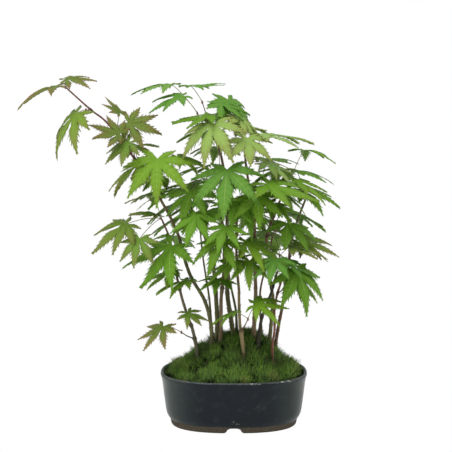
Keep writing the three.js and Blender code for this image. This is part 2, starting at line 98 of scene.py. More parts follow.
def facesOutward(mesh, merge=0.0):
    shape = bmesh.new()
    shape.from_mesh(mesh)
    if merge:
        bmesh.ops.remove_doubles(shape, verts=shape.verts, dist=merge)
    bmesh.ops.recalc_face_normals(shape, faces=shape.faces)
    shape.to_mesh(mesh)
    shape.free()


# node trees: a value is a number, a colour or another node's socket

def addNode(tree, kind, inputs=None, **settings):
    node = tree.nodes.new(kind)
    for key, value in settings.items():
        setattr(node, key, value)
    for key, value in (inputs or {}).items():
        feed(node.inputs[key], value)
    return node


def fromNode(tree, kind, inputs=None, **settings):
    return addNode(tree, kind, inputs, **settings).outputs[0]


def treeOf(*values):
    return next(value.id_data for value in values if isinstance(value, bpy.types.NodeSocket))


def feed(socket, value):
    # a socket takes another socket's value, a number or a colour
    if isinstance(value, bpy.types.NodeSocket):
        socket.id_data.links.new(value, socket)
    elif value is not None:
        socket.default_value = (*value, 1) if socket.type == "RGBA" else value


def mathNode(operation, first, second=None, clamp=False):
    return fromNode(treeOf(first, second), "ShaderNodeMath", {0: first, 1: second},
                    operation=operation, use_clamp=clamp)


def plus(first, second):
    return mathNode("ADD", first, second)


def minus(first, second):
    return mathNode("SUBTRACT", first, second)


def times(first, second):
    return mathNode("MULTIPLY", first, second)


def vectorMath(operation, first, second):
    socket = "Scale" if operation == "SCALE" else 1
    return fromNode(treeOf(first), "ShaderNodeVectorMath", {0: first, socket: second}, operation=operation)


def rampNode(factor, stops):
    node = addNode(treeOf(factor), "ShaderNodeValToRGB", {0: factor})
    elements = node.color_ramp.elements
    while len(elements) < len(stops):
        elements.new(0.5)
    for element, (position, colour) in zip(elements, stops):
        element.position = position
        element.color = (*colour, 1)
    return node.outputs[0]


def maskNode(factor, low, high):
    return fromNode(treeOf(factor), "ShaderNodeMapRange", {
        "Value": factor, "From Min": low, "From Max": high}, interpolation_type="SMOOTHSTEP")


def mixColour(factor, first, second, way="MIX"):
    return addNode(treeOf(factor, first, second), "ShaderNodeMix", {0: factor, 6: first, 7: second},
                   data_type="RGBA", blend_type=way).outputs[2]


def noiseNode(place, scale, detail=3.0, roughness=0.55, stretch=None):
    tree = treeOf(place)
    if stretch:
        place = fromNode(tree, "ShaderNodeMapping", {"Scale": stretch, "Vector": place})
    return fromNode(tree, "ShaderNodeTexNoise", {
        "Vector": place, "Scale": scale, "Detail": detail, "Roughness": roughness})


def bumpNode(height, distance, strength=1.0):
    return fromNode(treeOf(height), "ShaderNodeBump", {
        "Height": height, "Distance": distance, "Strength": strength})


def attributeNode(tree, name, output="Fac"):
    return addNode(tree, "ShaderNodeAttribute", attribute_name=name).outputs[output]


def startMaterial(name, **sockets):
    material = bpy.data.materials.new(name)
    material.use_nodes = True
    tree = material.node_tree
    tree.nodes.clear()
    shader = addNode(tree, "ShaderNodeBsdfPrincipled")
    output = addNode(tree, "ShaderNodeOutputMaterial", {"Surface": shader.outputs[0]})
    for key, value in sockets.items():
        feed(shader.inputs[key.replace("_", " ")], value)
    place = addNode(tree, "ShaderNodeTexCoord").outputs["Object"]
    return material, tree, shader, place, output


def finish(shader, colour, height, distance, strength=1.0, roughness=None):
    feed(shader.inputs["Base Color"], colour)
    feed(shader.inputs["Roughness"], roughness)
    feed(shader.inputs["Normal"], bumpNode(height, distance, strength))



# camera, light and stage

cameraView = {
    "place": (-8, -1437, 391.5),   # from the pot's foot, mm
    "downward": 7.5,               # degrees below level
    "lens": 114.0,
}


def makeCamera(view):
    data = bpy.data.cameras.new("camera")
    data.lens = view["lens"]
    data.sensor_width = 36
    data.clip_start = 0.01
    data.clip_end = 50
    camera = makeObject("camera", data)
    camera.location = fromPot(*view["place"])
    camera.rotation_euler = ((90 - view["downward"]) * degree, 0, 0)
    bpy.context.scene.camera = camera


studio = {
    "skyStrength": 1.0,
    "skyColour": (1.0, 1.0, 1.0),
    "lamps": [                     # place mm, aimed at mm, size m, watts
        ((-250, -500, 1500), (0, 0, 180), 1.1, 20.0),
        ((-1300, -500, 700), (0, 0, 120), 0.9, 8.0),
        ((1300, -450, 700), (0, 0, 120), 0.9, 8.0),
    ],
    "floorColour": (0.80, 0.80, 0.80),
    "floorGlow": 0.55,             # the floor is a lit white sheet, so the pot throws little shade
    "floorSize": 6.0,
}


def makeStage(values):
    world = bpy.data.worlds.new("studio")
    world.use_nodes = True
    background = world.node_tree.nodes["Background"]
    feed(background.inputs["Color"], values["skyColour"])
    feed(background.inputs["Strength"], values["skyStrength"])
    bpy.context.scene.world = world
    for number, (place, aim, size, power) in enumerate(values["lamps"]):
        data = bpy.data.lights.new(f"lamp{number}", "AREA")
        data.shape = "DISK"
        data.size = size
        data.energy = power
        lamp = makeObject(f"lamp{number}", data)
        lamp.location = fromPot(*place)
        direction = fromPot(*aim) - lamp.location
        lamp.rotation_euler = direction.to_track_quat("-Z", "Y").to_euler()
    half = values["floorSize"] / 2
    corners = [(-half, -half, 0), (half, -half, 0), (half, half, 0), (-half, half, 0)]
    floor = makeObject("floor", makeMesh("floor", corners, [(0, 1, 2, 3)], smooth=False))
    material, tree, shader, _, output = startMaterial(
        "paleFloor", Roughness=0.9, Base_Color=values["floorColour"], Emission_Color=(1, 1, 1),
        Emission_Strength=values["floorGlow"])
    # the camera sees plain white, so that thin stalks keep their edges
    seen = addNode(tree, "ShaderNodeLightPath").outputs["Is Camera Ray"]
    plain = fromNode(tree, "ShaderNodeEmission")
    feed(output.inputs["Surface"], fromNode(tree, "ShaderNodeMixShader", {
        0: seen, 1: shader.outputs[0], 2: plain}))
    floor.data.materials.append(material)


makeCamera(cameraView)
makeStage(studio)
bpy.context.scene.view_settings.view_transform = "Standard"
print("camera and studio ready")


# the pot

pot = {
    "profile": [                   # half length and height, mm, from under the floor out and in
        (57.0, 4.0), (57.9, 1.2), (58.9, 0.25), (60.0, 0.0), (62.9, 0.0), (63.8, 0.3), (64.3, 1.0),
        (64.8, 3.4), (65.3, 5.4), (66.5, 7.6), (67.8, 9.6), (68.9, 12.2), (69.7, 16.0), (70.5, 22.0),
        (71.4, 29.0), (72.3, 37.0), (73.1, 43.5), (73.9, 47.6), (74.5, 49.8), (74.9, 51.2),
        (74.8, 52.3), (74.2, 53.1), (73.3, 53.45), (72.3, 53.4), (71.6, 52.9), (71.2, 52.0),
        (70.8, 50.0), (70.0, 47.0), (67.5, 22.0), (65.6, 15.0), (63.0, 11.5), (57.0, 9.0)],
    "oval": 14.5,                  # how much less the half depth is than the half length
    "fullness": 2.5,               # 2 is an ellipse, more is squarer
    "sides": 192,
    "notch": (18.5, 10.5, 5.4),    # its width at the foot and at the top, and its height
    "drain": (7, 30),              # the radius of a hole, and how far it is from the middle
    "glaze": (0.0060, 0.0082, 0.0108),
    # the lighter glaze painted on the two ends, standing in for reflection
    "paintedEndReflection": (0.026, 0.034, 0.028),
    # the rim's lighter band: partly wear, partly a painted highlight
    "rim": (0.075, 0.083, 0.080),
    "chip": (0.25, 0.26, 0.22),
    "pool": (0.006, 0.008, 0.009),
    "cloud": (0.030, 0.040, 0.042),
    "speck": (0.16, 0.165, 0.10),
    "clay": (0.040, 0.033, 0.023),
    "clayShade": (0.034, 0.029, 0.022),
    "clayGrit": (0.105, 0.085, 0.058),
    "glazeEdge": 6.7,              # the height where the glaze stops, mm
}


def full(value):
    return math.copysign(abs(value) ** (2 / pot["fullness"]), value)


def ovalPoint(halfLength, angle, z):
    halfDepth = halfLength - pot["oval"]
    return Vector((halfLength * full(math.cos(angle)), halfDepth * full(math.sin(angle)), z))


def evenAngles(sides):
    # angles whose points lie about evenly round the full oval
    fine = 4096
    turns = [2 * math.pi * i / fine for i in range(fine + 1)]
    places = [ovalPoint(70, turn, 0) for turn in turns]
    along = [0.0]
    for a, b in zip(places, places[1:]):
        along.append(along[-1] + (b - a).length)
    angles, at = [], 0
    for i in range(sides):
        while along[at + 1] < along[-1] * i / sides:
            at += 1
        share = (along[-1] * i / sides - along[at]) / (along[at + 1] - along[at])
        angles.append(turns[at] + (turns[at + 1] - turns[at]) * share)
    return angles


def ringFaces(rings, sides):
    # the walls between rings of points, and a flat face on the first and the last
    faces = [tuple(reversed(range(sides))), tuple(range((rings - 1) * sides, rings * sides))]
    for ring in range(rings - 1):
        for i in range(sides):
            a, b = ring * sides + i, ring * sides + (i + 1) % sides
            faces.append((a, b, b + sides, a + sides))
    return faces


def revolveOval(profile, sides):
    angles = evenAngles(sides)
    points = [fromPot(*ovalPoint(halfLength, angle, z)) for halfLength, z in profile for angle in angles]
    return points, ringFaces(len(profile), sides)


def archCutter(width, top, height, back):
    # a notch with a rounded top, cut through the foot ring
    outline = [(-width / 2 - 0.6, -2), (-width / 2 - 0.2, 0), (-width / 2 + 0.5, 0.9)]
    for step in range(9):
        turn = step / 8 * math.pi / 2
        x = -top / 2 - 2.0 + (top / 2) * (1 - math.cos(turn))
        outline.append((x, height - 3.3 + 3.3 * math.sin(turn)))
    outline += [(-x, z) for x, z in reversed(outline)]
    points = [fromPot(x, y, z) for y in (back, back + 14) for x, z in outline]
    return points, ringFaces(2, len(outline))


def drainCutter(middle, radius, sides=48):
    turns = [2 * math.pi * i / sides for i in range(sides)]
    points = [fromPot(middle + radius * math.cos(turn), radius * math.sin(turn), z)
              for z in (-2, 14) for turn in turns]
    return points, ringFaces(2, sides)


def cutAway(piece, name, points, faces):
    cutter = makeObject(name, makeMesh(name, points, faces))
    facesOutward(cutter.data)
    cutBy = piece.modifiers.new(name, "BOOLEAN")
    cutBy.operation = "DIFFERENCE"
    cutBy.solver = "EXACT"
    cutBy.object = cutter
    return cutter


def makePot(values):
    points, faces = revolveOval(values["profile"], values["sides"])
    piece = makeObject("potGlazed", makeMesh("potGlazed", points, faces))
    facesOutward(piece.data)
    notch, (radius, offset) = values["notch"], values["drain"]
    cutters = [cutAway(piece, "notchFront", *archCutter(*notch, -54)),
               cutAway(piece, "notchBack", *archCutter(*notch, 40))]
    for side in (-1, 1):
        cutters.append(cutAway(piece, f"drain{side}", *drainCutter(side * offset, radius)))
    settle(piece)
    for cutter in cutters:
        bpy.data.objects.remove(cutter)
    piece.data.set_sharp_from_angle(angle=35 * degree)
    piece.data.materials.append(glazeMaterial(values))
    standIn(piece, "pot")


def glazeMaterial(values):
    material, tree, shader, place, _ = startMaterial("glazedStoneware", Specular_IOR_Level=0.06)
    place = vectorMath("SUBTRACT", place, potMiddle)
    side, _, height = addNode(tree, "ShaderNodeSeparateXYZ", {0: place}).outputs
    broad = noiseNode(place, 16, 3, 0.5)
    mottle = noiseNode(place, 120, 5, 0.62)
    fine = noiseNode(place, 900, 3, 0.6)
    # painted reflection: the glaze is lighter and greener towards the two ends
    ends = plus(mathNode("ABSOLUTE", side), times(minus(broad, 0.5), 0.018))
    body = mixColour(maskNode(ends, 0.030, 0.082), values["glaze"], values["paintedEndReflection"])
    body = mixColour(times(maskNode(broad, 0.45, 0.7), 0.5), body, values["pool"])
    body = mixColour(times(maskNode(mottle, 0.5, 0.8), 0.3), body, values["cloud"])
    # specks
    spots = fromNode(tree, "ShaderNodeTexVoronoi", {"Scale": 150, "Vector": place}, feature="F1")
    speck = times(maskNode(spots, 0.13, 0.07), maskNode(noiseNode(place, 60, 1), 0.66, 0.70))
    body = mixColour(times(speck, 0.7), body, values["speck"])
    # the worn rim with a painted highlight, a lighter band along its top, and chips on its edge
    rimWearAndHighlight = maskNode(plus(height, times(minus(mottle, 0.5), 0.0026)), 0.0518, 0.0534)
    body = mixColour(times(rimWearAndHighlight, maskNode(fine, 0.30, 0.62)), body, values["rim"])
    chips = times(maskNode(noiseNode(place, 210, 2), 0.66, 0.70), rimWearAndHighlight)
    body = mixColour(chips, body, values["chip"])
    # bare clay at the foot
    edge = plus(height, times(minus(noiseNode(place, 45, 4), 0.5), 0.0035))
    edgeAt = values["glazeEdge"] * mm
    bare = maskNode(edge, edgeAt + 0.0004, edgeAt - 0.0004)
    clay = mixColour(mottle, values["clay"], values["clayShade"])
    clay = mixColour(maskNode(fine, 0.55, 0.75), clay, values["clayGrit"])
    rough = plus(plus(times(mottle, 0.20), 0.26), times(rimWearAndHighlight, 0.2))
    rough = mathNode("MAXIMUM", rough, times(bare, 0.9))
    ripple = plus(plus(times(broad, 2.2), times(mottle, 0.3)), times(times(fine, bare), 0.3))
    finish(shader, mixColour(bare, body, clay), ripple, 0.0005, roughness=rough)
    return material


makePot(pot)
print("pot ready")


# Geometry Nodes helpers

def startTree(name, inputs):
    tree = bpy.data.node_groups.new(name, "GeometryNodeTree")
    tree.is_modifier = True
    sockets = tree.interface
    sockets.new_socket(name="Geometry", in_out="INPUT", socket_type="NodeSocketGeometry")
    for label, kind, value in inputs:
        socket = sockets.new_socket(name=label, in_out="INPUT", socket_type="NodeSocket" + kind)
        if value is not None:
            socket.default_value = value
    sockets.new_socket(name="Geometry", in_out="OUTPUT", socket_type="NodeSocketGeometry")
    return tree, addNode(tree, "NodeGroupInput").outputs, addNode(tree, "NodeGroupOutput")


def useTree(piece, tree, **values):
    modifier = piece.modifiers.new(tree.name, "NODES")
    modifier.node_group = tree
    for item in tree.interface.items_tree:
        if item.in_out == "INPUT" and item.name in values:
            modifier[item.identifier] = values[item.name]
    return settle(piece)


def storedValue(tree, name):
    return fromNode(tree, "GeometryNodeInputNamedAttribute", {"Name": name}, data_type="FLOAT")


def withMaterial(tree, shape, material):
    return fromNode(tree, "GeometryNodeSetMaterial", {"Geometry": shape, "Material": material})



def strandTree():
    # round tubes along edge paths; each path point brings its thickness and tint
    tree, given, leave = startTree("strands", [
        ("Sides", "Int", 8), ("Roughness", "Float", 0.1), ("Grain", "Float", 700.0),
        ("Material", "Material", None)])
    thickness = storedValue(tree, "thickness")
    curve = fromNode(tree, "GeometryNodeMeshToCurve", {0: given["Geometry"]})
    sized = fromNode(tree, "GeometryNodeSetCurveRadius", {"Curve": curve, "Radius": thickness})
    ring = fromNode(tree, "GeometryNodeCurvePrimitiveCircle", {"Radius": 1.0, "Resolution": given["Sides"]})
    tube = addNode(tree, "GeometryNodeCurveToMesh", {
        "Curve": sized, "Profile Curve": ring, "Fill Caps": True})
    if "Scale" in tube.inputs:
        feed(tube.inputs["Scale"], thickness)
    place = vectorMath("MULTIPLY", fromNode(tree, "GeometryNodeInputPosition"), (1, 1, 0.35))
    grain = fromNode(tree, "ShaderNodeTexNoise", {"Vector": place, "Scale": given["Grain"]})
    swell = times(times(minus(grain, 0.5), given["Roughness"]), thickness)
    offset = vectorMath("SCALE", fromNode(tree, "GeometryNodeInputNormal"), swell)
    moved = fromNode(tree, "GeometryNodeSetPosition", {"Geometry": tube.outputs[0], "Offset": offset})
    whole = fromNode(tree, "GeometryNodeRealizeInstances", {0: moved})
    feed(leave.inputs[0], withMaterial(tree, whole, given["Material"]))
    return tree


def strandMesh(name, strands):
    # a strand is a list of (place in mm from the pot's foot, radius in mm, tint)
    edges = []
    start = 0
    for strand in strands:
        edges += [(start + i, start + i + 1) for i in range(len(strand) - 1)]
        start += len(strand)
    places, radii, tints = zip(*[ring for strand in strands for ring in strand])
    mesh = bpy.data.meshes.new(name)
    mesh.from_pydata([tuple(fromPot(*place)) for place in places], edges, [])
    pointValues(mesh, "thickness", [radius * mm for radius in radii])
    pointValues(mesh, "tint", tints)
    return mesh


def smoothPath(points, step):
    # a smooth line through the points, in even steps of about "step" millimetres
    ends = [points[0] * 2 - points[1]] + list(points) + [points[-1] * 2 - points[-2]]
    line = []
    for a, b, c, d in zip(ends, ends[1:], ends[2:], ends[3:]):
        count = max(2, round((c - b).length / step))
        for i in range(count):
            t = i / count
            line.append(0.5 * (2 * b + (c - a) * t + (2 * a - 5 * b + 4 * c - d) * t ** 2
                               + (3 * b - a - 3 * c + d) * t ** 3))
    line.append(points[-1])
    return line


def blend(first, second, share):
    return tuple(a + (b - a) * share for a, b in zip(first, second))


# leaves

leafForm = {
    "lobeAngle": 40,
    "lobeLengths": (0.42, 0.72, 0.93, 1, 0.93, 0.72, 0.42),
    "halfWidth": 0.118,            # of a lobe, by its length
    "notch": 0.22,
    "teeth": 7,                    # on each side of the longest lobe
    "toothDepth": 0.070,
    "vein": 0.75,                  # how far the side veins slope forward
    "thickness": 0.26,             # mm
    "columns": (-1, -0.55, 0, 0.55, 1),
    "innerRows": 3,
}


def lobeShape(share):
    # a lobe's half width from its foot, 0, to its drawn-out tip, 1
    if share < 0.47:
        return 1 - 0.9 * ((0.47 - share) / 0.47) ** 2
    rest = (share - 0.47) / 0.53
    return (1 - rest) ** 1.3 * (1 + 0.55 * rest)


def smoothStep(value):
    value = min(1, max(0, value))
    return value * value * (3 - 2 * value)


def lobeRows(form, chance, angle, length, notches):
    # rows of flat points across a lobe, from beside the leaf's foot to the lobe's tip
    axis = Vector((math.cos(angle), math.sin(angle)))
    side = Vector((-axis.y, axis.x))
    local = [(notch.dot(axis), notch.dot(side)) for notch in notches]
    halfWidth = form["halfWidth"] * length ** 0.9 * chance.uniform(0.88, 1.12)
    sway = chance.uniform(-0.07, 0.07) + 0.05 * math.sin(angle)
    teeth = max(4, round(form["teeth"] * length))
    steps = [(0.0, -0.1)]
    for tooth in range(teeth):
        size = chance.uniform(0.75, 1.2)
        steps += [((tooth + share) / teeth, depth * size)
                  for share, depth in ((0.30, 0.45), (0.42, 0.05), (0.86, 1.0), (1.0, -0.1))]
    rows = []
    meanX = (local[0][0] + local[1][0]) / 2
    meanY = (abs(local[0][1]) + abs(local[1][1])) / 2
    middleX = max(0.3 * meanX, meanX - form["vein"] * meanY)
    for i in range(1, form["innerRows"]):
        share = i / form["innerRows"]
        row = []
        for column in form["columns"]:
            notch = local[0] if column < 0 else local[1]
            x = middleX + (notch[0] - middleX) * abs(column)
            row.append((share * x, share * notch[1] * abs(column), 0.0, abs(column)))
        rows.append(row)
    for step, depth in steps:
        q = step ** 0.92 * 0.955
        margins = []
        for notchX, notchY in local:
            x = notchX + (length - notchX) * q
            y = halfWidth * lobeShape(x / length)
            near = smoothStep(q / 0.22)
            margins.append((x, abs(notchY) * (1 - near) + y * near))
        centreX = middleX
        if step > 0:
            (rightX, rightY), (leftX, leftY) = margins
            centreX = max((rightX + leftX) / 2 - form["vein"] * (rightY + leftY) / 2,
                          middleX + 0.2 * q * length)
        row = []
        for column in form["columns"]:
            x, y = margins[0] if column < 0 else margins[1]
            if abs(column) == 1 and step > 0:
                notch = form["toothDepth"] * length * depth * (0.35 + lobeShape(x / length))
                x, y = x + notch, y + notch * 0.8
            row.append((centreX + (x - centreX) * abs(column), y * column, step * teeth, abs(column)))
        rows.append(row)
    rows.append([(length, 0.0, teeth, 0.0)])
    placed = []
    for row in rows:
        placed.append([])
        for x, y, along, across in row:
            bend = sway * max(0.0, x - meanX) ** 2 / length
            placed[-1].append((axis * x + side * (y + bend), along, across, x / length))
    return placed


def leafBlade(form, seed, size, droop):
    # the points of a blade in millimetres round its junction, its faces, and what its finish reads
    chance = random.Random(seed)
    lengths = [length * chance.uniform(0.95, 1.05) for length in form["lobeLengths"]]
    angles = [((i - 3) * form["lobeAngle"] + chance.uniform(-2.5, 2.5)) * degree for i in range(7)]
    notches = [Vector((-0.045, -0.035))]
    for i in range(6):
        middle = (angles[i] + angles[i + 1]) / 2
        reach = form["notch"] * (0.6 * min(lengths[i:i + 2]) + 0.4 * max(lengths[i:i + 2]))
        reach *= chance.uniform(0.92, 1.1)
        notches.append(Vector((math.cos(middle), math.sin(middle))) * reach)
    notches.append(Vector((-0.045, 0.035)))
    shared = {}
    points, facts, faces = [], [], []

    def pointAt(lobe, flat, along, across, reach):
        key = (round(flat.x, 5), round(flat.y, 5))
        if key not in shared:
            shared[key] = len(points)
            points.append(bladePoint(flat, lobe, along, across))
            facts.append((along, across, reach))
        return shared[key]

    def bladePoint(flat, lobe, along, across):
        far = flat.length
        bend = max(1e-3, droop * degree * far)
        out = math.sin(bend) / bend
        drop = far * (1 - math.cos(bend)) / bend
        beyond = max(0.0, far - 0.26)
        relief = fold[lobe] * across * min(1, far / 0.3) * 0.05
        relief += 0.006 * math.cos(2 * math.pi * along) * (1 - across) * min(1, along)
        wave = noise.noise(Vector((flat.x * 2.2, flat.y * 2.2, seed * 3.7))) * 0.05 * far
        curl = curls[lobe] * beyond ** 1.6 + edge * across ** 2 * beyond
        return Vector((flat.x * out, flat.y * out, relief + wave - drop - curl)) * size

    fold = [chance.uniform(-0.7, 1.0) for _ in range(7)]
    curls = [chance.uniform(-0.12, 0.26) for _ in range(7)]
    edge = chance.uniform(-0.05, 0.06)
    centre = pointAt(3, Vector((0, 0)), 0.0, 0.0, 0.0)
    for lobe in range(7):
        rows = lobeRows(form, chance, angles[lobe], lengths[lobe], notches[lobe:lobe + 2])
        grid = [[pointAt(lobe, *fact) for fact in row] for row in rows]
        width = len(form["columns"])
        faces += [(centre, grid[0][i], grid[0][i + 1]) for i in range(width - 1)]
        for low, high in zip(grid, grid[1:-1]):
            faces += [(low[i], high[i], high[i + 1], low[i + 1]) for i in range(width - 1)]
        tip = grid[-1][0]
        faces += [(grid[-2][i], tip, grid[-2][i + 1]) for i in range(width - 1)]
    return points, facts, faces


leafTints = {                      # upper side colour, bronze at the tips
    "bronzed": ((0.098, 0.150, 0.022), 0.75),
    "young": ((0.115, 0.200, 0.024), 0.45),
    "fresh": ((0.120, 0.245, 0.015), 0.15),
    "green": ((0.092, 0.208, 0.012), 0.05),
    "cool": ((0.088, 0.218, 0.026), 0.05),
    "pale": ((0.215, 0.335, 0.080), 0.38),
}
leafFacts = ("along", "across", "reach", "bronze")
leafFinish = {
    "mottle": (0.75, 0.80, 0.62),
    "blush": (0.205, 0.120, 0.050),
    "underside": (0.160, 0.260, 0.060),
    "veins": (0.300, 0.390, 0.110),
    "through": (1.25, 1.25, 0.55),
    "translucence": 0.28,
}
stalkTints = {
    "olive": (0.090, 0.088, 0.036),
    "brown": (0.105, 0.066, 0.040),
    "red": (0.125, 0.050, 0.034),
    "pink": (0.135, 0.098, 0.056),
    "tan": (0.150, 0.118, 0.056),
    "grey": (0.088, 0.080, 0.048),
    "dark": (0.026, 0.024, 0.014),
    "green": (0.130, 0.190, 0.045),
}
stemForm = {
    "sides": 12,
    "step": 1.3,                   # mm between the rings
    "rooting": 16,                 # how far a stem goes down into the mound, mm
    "flare": 1.5,                  # at the mound's surface
    "fullness": 1.28,
    "twig": (0.72, 0.46),          # its radius at its foot and tip
    "roughness": 0.34,
    "grain": 900.0,
    "nodeSpacing": (11, 22),
    "bare": 0.45,                  # the share of nodes without a bud
}
petioleForm = {
    "radius": 0.36,
    "arch": 0.12,                  # how far it bows upward, by its length
    "steps": 12,
    "collar": ((-1.9, 0.55), (-1.2, 0.95), (-0.4, 1.12), (0.4, 0.95), (1.1, 0.6), (1.7, 0.22)),
}

